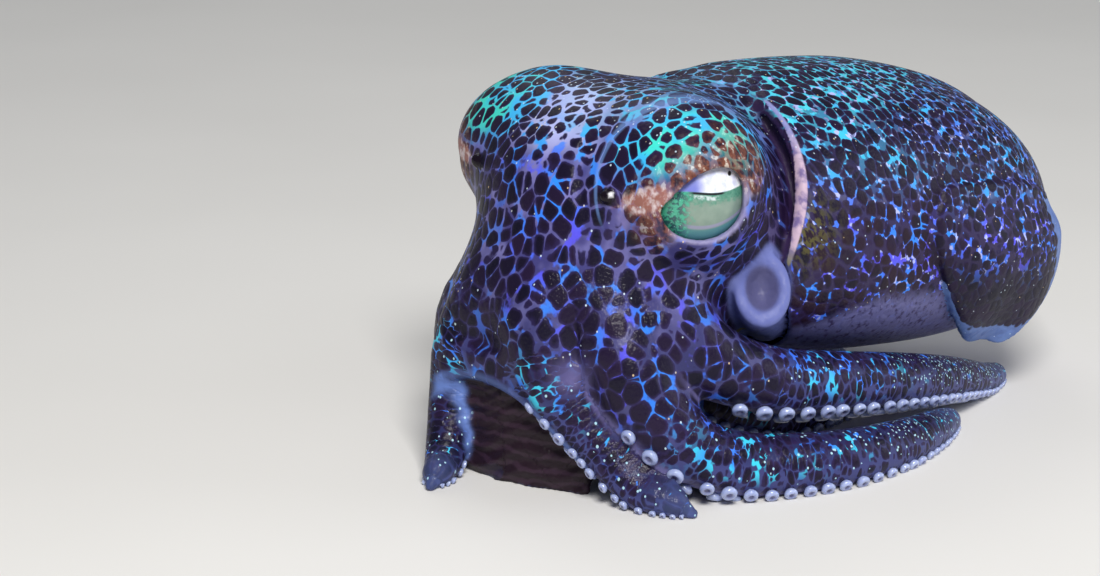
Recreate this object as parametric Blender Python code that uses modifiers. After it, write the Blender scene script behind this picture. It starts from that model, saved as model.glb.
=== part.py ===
"""Bobtail squid sitting on its folded arms, life size, in metres with +Z up.

The head points to -X, the animal's left side is -Y and the arms rest on the plane z = 0. One distance
field joins mantle, head, eye bulges and arm roots smoothly, and each node's surface is cast onto it.
"""

import math

import bmesh
import bpy
import numpy as np
from mathutils import Matrix, Vector

MM = 0.001
GAP = 0.3 * MM
SIDES = {"left": -1.0, "right": 1.0}
END_BULGE = 0.6
CURVE_STEPS = 24
FINE = 4

# Points round and from pole to pole of each rounded surface.
MANTLE_GRID = (32, 20)
HEAD_GRID = (42, 30)
LIPS_GRID = (14, 8)
MOUTH_GRID = (10, 6)
PAPILLA_GRID = (8, 5)
SOCKET_GRID = (20, 10)
EYE_GRID = (18, 10)
SUCKER_GRID = (6, 3)


def mm(*values):
    """A point or a list of points given in millimetres, in metres."""
    return np.array(values, float) * MM


# Mantle: a blunt sac along X, cut open at the front, whose axis droops towards the tail.
MANTLE_MIDDLE_X = 16.5 * MM
MANTLE_FRONT_X = 0.8 * MM
MANTLE_FRONT_SLOPE = 0.28
MANTLE_REAR_LENGTH = 20.9 * MM
MANTLE_FRONT_LENGTH = 30.0 * MM
MANTLE_HALF_WIDTH = 13.6 * MM
MANTLE_HALF_HEIGHT = 11.4 * MM
MANTLE_AXIS_Z = 15.6 * MM
MANTLE_AXIS_SLOPE = -0.11
MANTLE_AXIS_DROOP = 3.5
MANTLE_POWER = 2.3
MANTLE_WALL = 1.0 * MM
MANTLE_RIM_DEPTH = 3.2 * MM

# Head: a broad core with an eye bulge on each side, tapering down into the crown of arms.
HEAD_CENTRE = mm(-5.0, 0.0, 18.4)
HEAD_RADII = mm(10.8, 10.6, 9.9)
HEAD_POWER = 2.2
NECK_CENTRE = mm(0.6, 0.0, 16.6)
NECK_RADII = mm(7.4, 10.8, 9.4)
EYE_BULGE = mm(-6.3, 7.2, 22.2)
EYE_BULGE_RADIUS = 6.2 * MM
CROWN_CENTRE = mm(-10.6, 0.0, 12.8)
CROWN_RADII = mm(7.6, 8.6, 6.6)
CAST_CENTRE = mm(-8.5, 0.0, 16.0)
CAST_REACH = 32.0 * MM
CAST_LEAST = 0.5 * MM
CAST_STRIDE = 0.7
CAST_STEPS = 90
HEAD_BLEND = 3.0 * MM
ARM_BLEND = 2.2 * MM
MOUTH_HOLLOW = mm(-10.4, 0.0, 4.6)
MOUTH_HOLLOW_RADII = mm(5.2, 5.6, 4.6)
LIPS_CENTRE = mm(-10.4, 0.0, 9.6)
LIPS_RADII = mm(1.9, 1.9, 1.3)
MOUTH_RADII = mm(0.9, 0.7, 0.7)
HEAD_CUT_Z = 13.0 * MM
HEAD_CUT_PITCH = math.radians(24.0)

# Eyes: they look out and forwards through an almond opening between two lids.
EYE_RADIUS = 4.6 * MM
EYE_DEPTH = 2.1 * MM
EYE_YAW = math.radians(28.0)
EYE_PITCH = math.radians(-4.0)
LID_THICKNESS = 0.65 * MM
LID_BLEND = 0.8 * MM
EYE_OPENING = mm(3.1, 2.4)
EYE_OPENING_SPREAD = ((0.0, 0.9), (1.0, 1.0), (2.0, 1.25))
EYE_OPENING_POINTS = 20
PAPILLA = mm(-12.9, 6.6, 21.6)
PAPILLA_RADIUS = 0.55 * MM

# Funnel: a soft tube that leaves the mantle's mouth and turns out under the left eye.
FUNNEL_PATH = mm((5.4, -4.3, 10.4), (2.6, -7.3, 11.4), (-0.5, -9.6, 13.1), (-2.2, -11.8, 14.4))
FUNNEL_RADII = mm(2.6, 2.5, 2.2, 2.5)
FUNNEL_OVAL = 1.16
FUNNEL_BORE_RADII = mm(1.0, 1.55)
FUNNEL_STEP = 1.2 * MM
FUNNEL_SEGMENTS = 16
FUNNEL_BORE_SEGMENTS = 12

# Fins: thin lobes rooted along the rear flank, folded down against the body.
FIN_MIDDLE_X = 23.0 * MM
FIN_LENGTH = 17.0 * MM
FIN_WIDEST = 0.33
FIN_OUTLINE = 1.07
FIN_ROOT_ANGLE = math.radians(75.0)
FIN_SWEEP = math.radians(60.0)
FIN_CORNER = 0.35
FIN_CORNER_POWER = 5
FIN_ROOT_GAP = 0.38 * MM
FIN_STAND_OFF = 1.8 * MM
FIN_STAND_POWER = 0.8
FIN_WAVE = 0.45 * MM
FIN_WAVES = 1.5
FIN_THICKNESS = 0.8 * MM
FIN_GRID = (12, 5)

# Arms: waypoints of each centre line from the crown to the tip, with the radius at the root. Where an
# arm would sink into the floor its centre line is lifted, so that only a small flat of it is cut away.
ARM_TIP_RADIUS = 0.4 * MM
ARM_TAPER = 0.42
ARM_REST_SHARE = 0.74
ARM_FLAT = 0.18
ARM_PATHS = {
    "arm_left_1": (2.7, [(-11.5, -2.0, 15.0), (-15.3, -2.6, 12.6), (-16.2, -4.0, 9.2), (-15.3, -5.7, 6.2),
                         (-14.2, -7.9, 3.7), (-13.6, -10.4, 1.6), (-13.0, -12.9, 0.4), (-12.0, -15.1, 0.0)]),
    "arm_left_2": (3.1, [(-10.8, -4.5, 14.5), (-12.4, -7.8, 11.0), (-11.6, -9.8, 6.9), (-9.3, -12.1, 3.4),
                         (-5.6, -13.9, 2.0), (-1.8, -15.6, 1.4), (2.7, -16.7, 1.0), (8.0, -16.6, 0.8),
                         (13.2, -15.3, 0.4), (17.4, -13.6, 0.0)]),
    "arm_left_3": (3.1, [(-8.5, -5.0, 14.0), (-8.6, -8.8, 11.8), (-5.4, -10.4, 8.8), (-0.8, -11.5, 6.8),
                         (4.9, -12.3, 5.7), (11.3, -12.5, 4.6), (18.4, -11.4, 3.0), (24.6, -9.8, 1.3),
                         (29.2, -8.4, 0.0)]),
    "arm_left_4": (2.6, [(-8.0, -2.5, 12.5), (-6.2, -4.4, 9.0), (-3.4, -5.2, 5.2), (1.6, -5.8, 2.6),
                         (8.0, -6.2, 1.0), (14.5, -5.7, 0.0), (20.5, -4.5, 0.0), (24.5, -3.6, 0.0)]),
    "arm_right_1": (2.7, [(-11.5, 2.0, 15.0), (-15.3, 3.2, 12.8), (-16.7, 4.9, 9.6), (-17.7, 4.8, 5.6),
                          (-19.3, 3.7, 2.4), (-21.1, 2.3, 0.8), (-22.8, 1.3, 0.0)]),
    "arm_right_2": (3.1, [(-10.8, 4.5, 14.5), (-12.7, 7.9, 11.0), (-12.7, 9.3, 7.4), (-11.8, 9.5, 4.5),
                          (-9.6, 10.0, 2.5), (-6.2, 11.8, 1.6), (-1.8, 14.8, 1.0), (3.4, 16.4, 0.8),
                          (8.6, 16.1, 0.4), (13.4, 14.7, 0.0)]),
    "arm_right_3": (3.1, [(-8.5, 5.0, 14.0), (-8.6, 8.8, 11.8), (-5.4, 10.4, 8.8), (-0.8, 11.5, 6.8),
                          (4.9, 12.3, 5.7), (11.3, 12.6, 4.6), (17.9, 12.2, 3.0), (23.4, 11.3, 1.3),
                          (27.4, 10.4, 0.0)]),
    "arm_right_4": (2.6, [(-8.0, 2.5, 12.5), (-6.2, 4.4, 9.0), (-3.4, 5.2, 5.2), (1.6, 5.8, 2.6),
                          (8.0, 6.3, 1.0), (14.5, 6.1, 0.0), (20.0, 5.2, 0.0), (23.8, 4.5, 0.0)]),
}
ARM_CROWN_SHARE = {"1": 0.36, "2": 0.30, "3": 0.27, "4": 0.27}
ARM_ROOT_OVERLAP = 0.05
ARM_MIDDLE_SHARE = 0.62
ARM_SEGMENTS = 10
ARM_RING_STEP = 1.9 * MM
ARM_END_CUT_SHARE = 0.32
ARM_END_CUT_GROWTH = 1.6 * MM
ARM_END_CUT_SEGMENTS = 14
FACING_DOWN_Z = 6.0 * MM
FACING_IN_Z = 12.0 * MM
REACH = 60.0 * MM

# Suckers: beads in two rows, sized by the arm's radius and sunk into the margins of its inner side.
SUCKER_SHARE = 0.27
SUCKER_LEAST = 0.36 * MM
SUCKER_VARIATION = (0.9, 1.1)
SUCKER_PITCH = 5.2
SUCKER_STAGGER = 0.9 * MM
SUCKER_END_GAP = 0.8 * MM
SUCKER_ANGLE = math.radians(56.0)
SUCKER_PROUD = 0.3
SUCKER_PATH_STEP = 0.8 * MM
SEED = 7

COLOURS = {
    "skin": ((0.075, 0.045, 0.115, 1.0), 0.28),
    "arm_skin": ((0.085, 0.06, 0.15, 1.0), 0.3),
    "fin_skin": ((0.16, 0.19, 0.42, 1.0), 0.3),
    "funnel_skin": ((0.42, 0.46, 0.78, 1.0), 0.35),
    "eye": ((0.32, 0.55, 0.45, 1.0), 0.08),
}


def clear_scene():
    for old in list(bpy.data.objects):
        bpy.data.objects.remove(old)


def material(name):
    colour, roughness = COLOURS[name]
    made = bpy.data.materials.new(name)
    made.use_nodes = True
    shader = made.node_tree.nodes["Principled BSDF"]
    shader.inputs["Base Color"].default_value = colour
    shader.inputs["Roughness"].default_value = roughness
    shader.inputs["Metallic"].default_value = 0.0
    return made


# Distance fields


def blob(points, centre, radii, power=2.0):
    """Distance to a rounded box or ellipsoid, exact close to its surface."""
    local = (points - centre) / radii
    size = np.maximum((np.abs(local) ** power).sum(axis=1), 1e-12) ** (1 / power)
    slope = np.abs(local) ** (power - 1) / radii * size[:, None] ** (1 - power)
    return (size - 1) / np.maximum(np.linalg.norm(slope, axis=1), 1e-9)


def ball(points, centre, radius):
    return np.linalg.norm(points - centre, axis=1) - radius


def joined(a, b, blend):
    """Smooth union of two distances, rounded over a width of blend."""
    share = np.clip(0.5 + 0.5 * (b - a) / blend, 0, 1)
    return b + (a - b) * share - blend * share * (1 - share)


def carved(a, cutter, blend):
    """Distance a with the shape of distance cutter taken away, rounded over blend."""
    return -joined(-a, cutter, blend)


def smooth_path(points, step):
    """Catmull-Rom curve through the points, resampled at about the given step."""
    ends = np.vstack([2 * points[0] - points[1], points, 2 * points[-1] - points[-2]])
    dense = []
    for i in range(1, len(ends) - 2):
        p0, p1, p2, p3 = ends[i - 1 : i + 3]
        for t in np.linspace(0, 1, CURVE_STEPS, endpoint=False):
            dense.append(0.5 * (2 * p1 + (p2 - p0) * t + (2 * p0 - 5 * p1 + 4 * p2 - p3) * t**2
                                + (3 * p1 - p0 - 3 * p2 + p3) * t**3))
    dense = np.array(dense + [points[-1]])
    along = np.concatenate([[0], np.cumsum(np.linalg.norm(np.diff(dense, axis=0), axis=1))])
    places = np.linspace(0, along[-1], max(3, round(along[-1] / step)) + 1)
    return np.column_stack([np.interp(places, along, dense[:, k]) for k in range(3)])


def chain(points, path, radii):
    """Distance to a tube along path whose radius changes from point to point."""
    nearest = np.full(len(points), np.inf)
    for start, end, r0, r1 in zip(path[:-1], path[1:], radii[:-1], radii[1:]):
        along = end - start
        t = np.clip((points - start) @ along / (along @ along), 0, 1)
        away = np.linalg.norm(points - start - t[:, None] * along, axis=1)
        nearest = np.minimum(nearest, away - (r0 + (r1 - r0) * t))
    return nearest


def mantle_axis_z(x):
    behind = np.maximum(x - MANTLE_MIDDLE_X, 0)
    return MANTLE_AXIS_Z + MANTLE_AXIS_SLOPE * (x - MANTLE_MIDDLE_X) - MANTLE_AXIS_DROOP * behind**2


def arm_radius(root, share):
    return ARM_TIP_RADIUS + (root - ARM_TIP_RADIUS) * (1 - share) ** ARM_TAPER


def arm_line(name, step=ARM_RING_STEP):
    """An arm's centre line, lifted to rest on the floor, and its radius at each point."""
    root, waypoints = ARM_PATHS[name]
    line = smooth_path(np.array(waypoints) * MM, step)
    radii = arm_radius(root * MM, np.linspace(0, 1, len(line)))
    line[:, 2] = np.maximum(line[:, 2], ARM_REST_SHARE * radii)
    return line, radii


def arm_part(name, start, end, step=ARM_RING_STEP):
    """An arm's centre line between two shares of its length, with its radii and its directions."""
    line, radii = arm_line(name, step / FINE)
    last = len(line) - 1
    count = max(2, round((end - start) * last / FINE)) + 1
    places = np.linspace(start, end, count) * last
    values = np.column_stack([line, radii, np.gradient(line, axis=0)])
    values = np.column_stack([np.interp(places, np.arange(last + 1), column) for column in values.T])
    return values[:, :3], values[:, 3], values[:, 4:]


def crown_share(name):
    return ARM_CROWN_SHARE[name[-1]]


def head_field(points):
    """Head, eye bulges, crown and the roots of the arms as one soft form."""
    field = blob(points, HEAD_CENTRE, HEAD_RADII, HEAD_POWER)
    field = joined(field, blob(points, NECK_CENTRE, NECK_RADII), HEAD_BLEND)
    for side in SIDES.values():
        field = joined(field, ball(points, EYE_BULGE * (1, side, 1), EYE_BULGE_RADIUS), HEAD_BLEND)
        lid_radius = EYE_RADIUS + GAP + LID_THICKNESS
        field = joined(field, ball(points, eye_centre(side), lid_radius), LID_BLEND)
    field = joined(field, blob(points, CROWN_CENTRE, CROWN_RADII), HEAD_BLEND)
    field = carved(field, blob(points, MOUTH_HOLLOW, MOUTH_HOLLOW_RADII), ARM_BLEND)
    for name in ARM_PATHS:
        line, radii, _ = arm_part(name, 0, crown_share(name) + ARM_ROOT_OVERLAP)
        field = joined(field, chain(points, line, radii), ARM_BLEND)
    return field


def gaze(side):
    flat = math.cos(EYE_PITCH)
    return np.array([-math.sin(EYE_YAW) * flat, side * math.cos(EYE_YAW) * flat, math.sin(EYE_PITCH)])


def eye_centre(side):
    return EYE_BULGE * (1, side, 1) + gaze(side) * EYE_DEPTH


# Mesh tools


def linked(name, mesh, group):
    made = bpy.data.objects.new(name, mesh)
    bpy.data.collections[group].objects.link(made)
    return made


def from_bmesh(name, bm, group):
    bm.normal_update()
    bmesh.ops.recalc_face_normals(bm, faces=bm.faces)
    mesh = bpy.data.meshes.new(name)
    bm.to_mesh(mesh)
    bm.free()
    return linked(name, mesh, group)


def sphere(name, centre, radius, segments, rings, group, pole=(0, 0, 1)):
    """A UV sphere whose poles lie along pole."""
    bm = bmesh.new()
    bmesh.ops.create_uvsphere(bm, u_segments=segments, v_segments=rings, radius=1)
    turn = Vector((0, 0, 1)).rotation_difference(Vector(pole)).to_matrix()
    radii = np.broadcast_to(radius, 3)
    for vertex in bm.verts:
        vertex.co = Vector(np.array(turn @ vertex.co) * radii + centre)
    return from_bmesh(name, bm, group)


def cast_outward(directions, centre, field, reach, level=0.0):
    """Points where rays that come in towards centre meet the field's surface at this level."""
    distance = np.full(len(directions), reach)
    for _ in range(CAST_STEPS):
        clearance = field(centre + directions * distance[:, None]) - level
        distance = np.maximum(distance - CAST_STRIDE * clearance, CAST_LEAST)
    return centre + directions * distance[:, None]


def cast_body(name, centre, field, reach, segments, rings, group, pole, level=0.0):
    """A UV sphere whose vertices are drawn in along their rays onto a field."""
    body = sphere(name, (0, 0, 0), 1, segments, rings, group, pole)
    directions = np.array([v.co for v in body.data.vertices])
    placed = cast_outward(directions, centre, field, reach, level)
    body.data.vertices.foreach_set("co", placed.astype(np.float32).ravel())
    body.data.update()
    return body


def frames(facing, tangent):
    """The facing direction made square to the tangent, and the side direction, at each point of a path."""
    tangent = tangent / np.linalg.norm(tangent, axis=1)[:, None]
    facing = facing - (facing * tangent).sum(axis=1)[:, None] * tangent
    facing /= np.linalg.norm(facing, axis=1)[:, None]
    return facing, np.cross(tangent, facing)


def loft(name, rings, group, round_ends=(False, False)):
    """A closed body through rings of equally many points, with flat or one-point ends."""
    bm = bmesh.new()
    rows = [[bm.verts.new(p) for p in ring] for ring in rings]
    count = len(rows[0])
    for near, far in zip(rows[:-1], rows[1:]):
        for i in range(count):
            j = (i + 1) % count
            bm.faces.new((near[i], near[j], far[j], far[i]))
    for end, inner, rounded in ((0, 1, round_ends[0]), (-1, -2, round_ends[1])):
        row, ring = rows[end], rings[end]
        if rounded:
            middle = ring.mean(axis=0)
            ahead = middle - rings[inner].mean(axis=0)
            bulge = np.linalg.norm(ring - middle, axis=1).mean() / np.linalg.norm(ahead)
            apex = bm.verts.new(middle + ahead * bulge * END_BULGE)
            for i in range(count):
                bm.faces.new((row[i], row[(i + 1) % count], apex))
        else:
            bm.faces.new(row)
    return from_bmesh(name, bm, group)


def tube(name, path, radii, segments, group, facing=(0, 0, -1), flat=0.0, oval=1.0, tangent=None,
         round_ends=(False, False)):
    """A tapered tube along path, oval in section, whose side towards facing is pressed in by flat."""
    tangent = np.gradient(path, axis=0) if tangent is None else tangent
    front, side = frames(np.broadcast_to(facing, path.shape), tangent)
    angles = np.arange(segments) * 2 * math.pi / segments
    deep = np.cos(angles) * (1 - flat * np.maximum(np.cos(angles), 0) ** 2) * oval
    wide = np.sin(angles) / oval
    rings = [point + radius * (deep[:, None] * a + wide[:, None] * b)
             for point, radius, a, b in zip(path, radii, front, side)]
    return loft(name, rings, group, round_ends)


def bake(target):
    """Replaces an object's mesh with what its modifiers make of it."""
    graph = bpy.context.evaluated_depsgraph_get()
    mesh = bpy.data.meshes.new_from_object(target.evaluated_get(graph))
    target.modifiers.clear()
    target.data = mesh


def keep_largest(target):
    """Leaves only the connected surface that holds most faces."""
    bm = bmesh.new()
    bm.from_mesh(target.data)
    unseen, best = set(bm.verts), []
    while unseen:
        shell, front = [], [unseen.pop()]
        while front:
            vertex = front.pop()
            shell.append(vertex)
            for edge in vertex.link_edges:
                other = edge.other_vert(vertex)
                if other in unseen:
                    unseen.remove(other)
                    front.append(other)
        best = max(best, shell, key=len)
    kept = set(best)
    bmesh.ops.delete(bm, geom=[v for v in bm.verts if v not in kept], context="VERTS")
    bm.to_mesh(target.data)
    bm.free()


def combine(target, others, operation):
    """Cuts or joins target with each helper by one Boolean, applied, and removes the helpers."""
    helpers = bpy.data.collections.new("helpers")
    bpy.context.scene.collection.children.link(helpers)
    for other in others:
        for holder in list(other.users_collection):
            holder.objects.unlink(other)
        helpers.objects.link(other)
    modifier = target.modifiers.new(operation.title(), "BOOLEAN")
    modifier.operation = operation
    modifier.operand_type = "COLLECTION"
    modifier.collection = helpers
    modifier.solver = "EXACT"
    bake(target)
    for other in others:
        bpy.data.objects.remove(other)
    bpy.data.collections.remove(helpers)
    keep_largest(target)


def box(name, low, high, group):
    bm = bmesh.new()
    bmesh.ops.create_cube(bm, size=1)
    low, high = np.array(low), np.array(high)
    for vertex in bm.verts:
        vertex.co = Vector((np.array(vertex.co) + 0.5) * (high - low) + low)
    return from_bmesh(name, bm, group)


def floor_slab():
    return box("floor_slab", (-REACH, -REACH, -REACH), (REACH, REACH, 0), "cutters")


# Sub-parts


def mantle_surface(x, angle, stand_off=0.0):
    """A point on the mantle at this x and angle round its axis, 0 at the top and positive to +Y."""
    dx = x - MANTLE_MIDDLE_X
    length = MANTLE_REAR_LENGTH if dx > 0 else MANTLE_FRONT_LENGTH
    left = max(1 - abs(dx / length) ** MANTLE_POWER, 0) ** (1 / MANTLE_POWER)
    s, c = math.sin(angle), math.cos(angle)
    size = (abs(s) ** MANTLE_POWER + abs(c) ** MANTLE_POWER) ** (-1 / MANTLE_POWER)
    across = (MANTLE_HALF_WIDTH * left + stand_off) * size * s
    up = (MANTLE_HALF_HEIGHT * left + stand_off) * size * c
    return np.array([x, across, mantle_axis_z(x) + up])


def mantle_body(name, inset=0.0):
    """The whole sac as a UV sphere with its poles on the body's axis."""
    body = sphere(name, (0, 0, 0), 1, *MANTLE_GRID, "squid", (1, 0, 0))
    points = np.array([v.co for v in body.data.vertices])
    points /= (np.abs(points) ** MANTLE_POWER).sum(axis=1)[:, None] ** (1 / MANTLE_POWER)
    lengths = np.where(points[:, 0] > 0, MANTLE_REAR_LENGTH, MANTLE_FRONT_LENGTH) - inset
    points *= np.column_stack([lengths, np.full_like(lengths, MANTLE_HALF_WIDTH - inset),
                               np.full_like(lengths, MANTLE_HALF_HEIGHT - inset)])
    points[:, 0] += MANTLE_MIDDLE_X
    points[:, 2] += mantle_axis_z(points[:, 0])
    body.data.vertices.foreach_set("co", points.astype(np.float32).ravel())
    body.data.update()
    return body


def rim_block(name, low, high):
    """A block between two distances behind the sloping plane of the mantle's free rim."""
    block = box(name, (low, -REACH, -REACH), (high, REACH, REACH), "cutters")
    turn = Matrix.Rotation(math.atan(MANTLE_FRONT_SLOPE), 4, "Y")
    turn.translation = (MANTLE_FRONT_X, 0, MANTLE_AXIS_Z)
    block.data.transform(turn)
    return block


def make_mantle():
    """The sac, open at the front with a free rim that stands off the neck and the funnel."""
    mantle = mantle_body("mantle")
    front = rim_block("front_cut", -REACH, 0)
    mouth = mantle_body("mouth_cut", MANTLE_WALL)
    combine(mouth, [rim_block("rear_keep", MANTLE_RIM_DEPTH, REACH)], "DIFFERENCE")
    neck = head_whole("neck_cut", GAP)
    funnel = funnel_tube("funnel_cut", GAP)
    combine(mantle, [front, mouth, neck, funnel], "DIFFERENCE")
    return mantle


def head_whole(name, level=0.0):
    return cast_body(name, CAST_CENTRE, head_field, CAST_REACH, *HEAD_GRID, "squid", (0, 1, 0), level)


def eye_opening(side):
    """The almond-shaped way out of the lids, along the gaze."""
    ahead = gaze(side)
    across = np.cross(ahead, (0, 0, 1))
    across /= np.linalg.norm(across)
    up = np.cross(across, ahead)
    angles = np.arange(EYE_OPENING_POINTS) * 2 * math.pi / EYE_OPENING_POINTS
    wide = EYE_OPENING[0] * np.cos(angles)
    high = EYE_OPENING[1] * np.sin(angles)
    rim = wide[:, None] * across + high[:, None] * up
    rings = []
    for depth, spread in EYE_OPENING_SPREAD:
        rings.append(eye_centre(side) + ahead * depth * EYE_RADIUS + rim * spread)
    return loft("eye_opening", rings, "cutters")


def eye_socket(side):
    return sphere("eye_socket", eye_centre(side), EYE_RADIUS + GAP, *SOCKET_GRID, "cutters", gaze(side))


def papilla_centre(side):
    """The place on the skin in front of an eye where its bead-like papilla stands."""
    towards = PAPILLA * (1, side, 1) - CAST_CENTRE
    towards /= np.linalg.norm(towards)
    return cast_outward(towards[None], CAST_CENTRE, head_field, CAST_REACH)[0]


def crown_block(low, high):
    """A block between two heights over the plane that parts the head from the crown of arms."""
    block = box("crown_block", (-REACH, -REACH, low), (REACH, REACH, high), "cutters")
    turn = Matrix.Rotation(HEAD_CUT_PITCH, 4, "Y")
    turn.translation = (CAST_CENTRE[0], 0, HEAD_CUT_Z)
    block.data.transform(turn)
    return block


def arm_end_cut(name):
    """A short plug past the place where an arm leaves the crown."""
    share = crown_share(name)
    line, radii, tangent = arm_part(name, share, share + ARM_END_CUT_SHARE)
    grown = radii + ARM_END_CUT_GROWTH
    return tube("arm_end_cut", line, grown, ARM_END_CUT_SEGMENTS, "cutters", tangent=tangent)


def make_head():
    head = head_whole("head")
    crown = head_whole("arm_crown")
    cuts = [crown_block(-REACH, 0), funnel_tube("funnel_cut", GAP)]
    cuts += [arm_end_cut(name) for name in ARM_PATHS]
    for side in SIDES.values():
        cuts += [eye_socket(side), eye_opening(side)]
    combine(head, cuts, "DIFFERENCE")
    papillae = [sphere("papilla", papilla_centre(side), PAPILLA_RADIUS, *PAPILLA_GRID, "cutters")
                for side in SIDES.values()]
    combine(head, papillae, "UNION")
    cuts = [crown_block(-GAP, REACH), funnel_tube("funnel_cut", GAP)]
    cuts += [arm_end_cut(name) for name in ARM_PATHS]
    combine(crown, cuts, "DIFFERENCE")
    lips = sphere("lips", LIPS_CENTRE, LIPS_RADII, *LIPS_GRID, "cutters")
    combine(crown, [lips], "UNION")
    mouth = sphere("mouth", LIPS_CENTRE - (0, 0, LIPS_RADII[2]), MOUTH_RADII, *MOUTH_GRID, "cutters")
    combine(crown, [mouth], "DIFFERENCE")
    return head, crown


def make_eyes():
    return [sphere("eye_" + word, eye_centre(side), EYE_RADIUS, *EYE_GRID, "squid", gaze(side))
            for word, side in SIDES.items()]


def funnel_tube(name, grow=0.0):
    path = smooth_path(FUNNEL_PATH, FUNNEL_STEP)
    shares = np.linspace(0, 1, len(FUNNEL_PATH))
    radii = np.interp(np.linspace(0, 1, len(path)), shares, FUNNEL_RADII) + grow
    return tube(name, path, radii, FUNNEL_SEGMENTS, "squid", oval=FUNNEL_OVAL)


def make_funnel():
    funnel = funnel_tube("funnel")
    path = smooth_path(FUNNEL_PATH, FUNNEL_STEP)
    path = path[len(path) // 3 :]
    beyond = path[-1] + (path[-1] - path[-2]) * 2
    radii = np.linspace(*FUNNEL_BORE_RADII, len(path) + 1)
    bore = tube("bore", np.vstack([path, beyond]), radii, FUNNEL_BORE_SEGMENTS, "cutters",
                oval=FUNNEL_OVAL, round_ends=(True, False))
    combine(funnel, [bore], "DIFFERENCE")
    return funnel


def make_fin(word, side):
    """A rounded, gently waved lobe that leaves the flank and hangs down along it."""
    columns, rows = FIN_GRID
    bm = bmesh.new()
    grid = []
    for s in np.linspace(0, 1, columns + 1):
        drop = FIN_SWEEP * (1 - FIN_CORNER * abs(2 * s - 1) ** FIN_CORNER_POWER)
        line = []
        for t in np.linspace(0, 1, rows + 1):
            spread = math.sqrt(1 - ((t - FIN_WIDEST) / (FIN_OUTLINE - FIN_WIDEST)) ** 2)
            x = FIN_MIDDLE_X + FIN_LENGTH * (s - 0.5) * spread
            wave = FIN_WAVE * math.sin(FIN_WAVES * 2 * math.pi * s)
            stand = FIN_ROOT_GAP + FIN_STAND_OFF * t**FIN_STAND_POWER + wave * t
            line.append(bm.verts.new(mantle_surface(x, side * (FIN_ROOT_ANGLE + drop * t), stand)))
        grid.append(line)
    for near, far in zip(grid[:-1], grid[1:]):
        for j in range(rows):
            a, b, c, d = near[j], far[j], far[j + 1], near[j + 1]
            bm.faces.new((a, b, c) if side > 0 else (c, b, a))
            bm.faces.new((a, c, d) if side > 0 else (d, c, a))
    mesh = bpy.data.meshes.new("fin_" + word)
    bm.to_mesh(mesh)
    bm.free()
    fin = linked("fin_" + word, mesh, "squid")
    skin = fin.modifiers.new("Thickness", "SOLIDIFY")
    skin.thickness = FIN_THICKNESS
    skin.offset = 1.0
    bake(fin)
    return fin


def arm_facing(path):
    """The direction of an arm's sucker side: in towards the mouth high up, and down on the floor."""
    inward = MOUTH_HOLLOW - path
    inward /= np.linalg.norm(inward, axis=1)[:, None]
    height = np.clip((path[:, 2] - FACING_DOWN_Z) / (FACING_IN_Z - FACING_DOWN_Z), 0, 1)[:, None]
    return inward * height + np.array((0, 0, -1.0)) * (1 - height)


def make_suckers(name, start, end, draw):
    """Two staggered rows of bead-like suckers along the margins of a stretch of an arm."""
    path, radii, tangent = arm_part(name, start, end, SUCKER_PATH_STEP)
    front, side = frames(arm_facing(path), tangent)
    along = np.concatenate([[0], np.cumsum(np.linalg.norm(np.diff(path, axis=0), axis=1))])
    made = []
    for row in (-1, 1):
        across = row * math.sin(SUCKER_ANGLE)
        down = math.cos(SUCKER_ANGLE)
        place = SUCKER_END_GAP + (row > 0) * SUCKER_STAGGER
        while place < along[-1] - SUCKER_END_GAP:
            i = int(np.searchsorted(along, place))
            size = max(SUCKER_SHARE * radii[i], SUCKER_LEAST) * draw.uniform(*SUCKER_VARIATION)
            outward = down * front[i] + across * side[i]
            surface = path[i] + radii[i] * (down * (1 - ARM_FLAT * down**2) * front[i] + across * side[i])
            centre = surface + outward * SUCKER_PROUD * size
            made.append(sphere("sucker", centre, size, *SUCKER_GRID, "cutters", outward))
            place += SUCKER_PITCH * size
    return made


def make_arms():
    arms = []
    draw = np.random.default_rng(SEED)
    for name in ARM_PATHS:
        line, _ = arm_line(name)
        length = np.linalg.norm(np.diff(line, axis=0), axis=1).sum()
        share = GAP / length
        ends = {"_base": (crown_share(name) + share, ARM_MIDDLE_SHARE),
                "_tip": (ARM_MIDDLE_SHARE + share, 1.0)}
        for part, (start, end) in ends.items():
            path, radii, tangent = arm_part(name, start, end)
            arm = tube(name + part, path, radii, ARM_SEGMENTS, "squid", arm_facing(path), ARM_FLAT,
                       tangent=tangent, round_ends=(False, part == "_tip"))
            combine(arm, make_suckers(name, start, end, draw), "UNION")
            combine(arm, [floor_slab()], "DIFFERENCE")
            arms.append(arm)
    return arms


def centre_on_floor(parts):
    """Moves the whole animal so that the middle of its box stands on the origin."""
    points = np.vstack([[v.co for v in part.data.vertices] for part in parts])
    middle = (points.min(axis=0) + points.max(axis=0)) / 2
    for part in parts:
        for vertex in part.data.vertices:
            vertex.co.x -= middle[0]
            vertex.co.y -= middle[1]


def dress(parts):
    slots = {"eye": "eye", "fin": "fin_skin", "funnel": "funnel_skin", "arm": "arm_skin"}
    made = {name: material(name) for name in COLOURS}
    for part in parts:
        kind = next((slot for start, slot in slots.items() if part.name.startswith(start)), "skin")
        part.data.materials.clear()
        part.data.materials.append(made[kind])
        part.data.shade_smooth()


def main():
    clear_scene()
    for group in ("squid", "cutters"):
        bpy.context.scene.collection.children.link(bpy.data.collections.new(group))
    parts = [make_mantle(), *make_head(), make_funnel(), *make_eyes(), *make_arms()]
    parts += [make_fin(word, side) for word, side in SIDES.items()]
    centre_on_floor(parts)
    dress(parts)


main()
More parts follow.
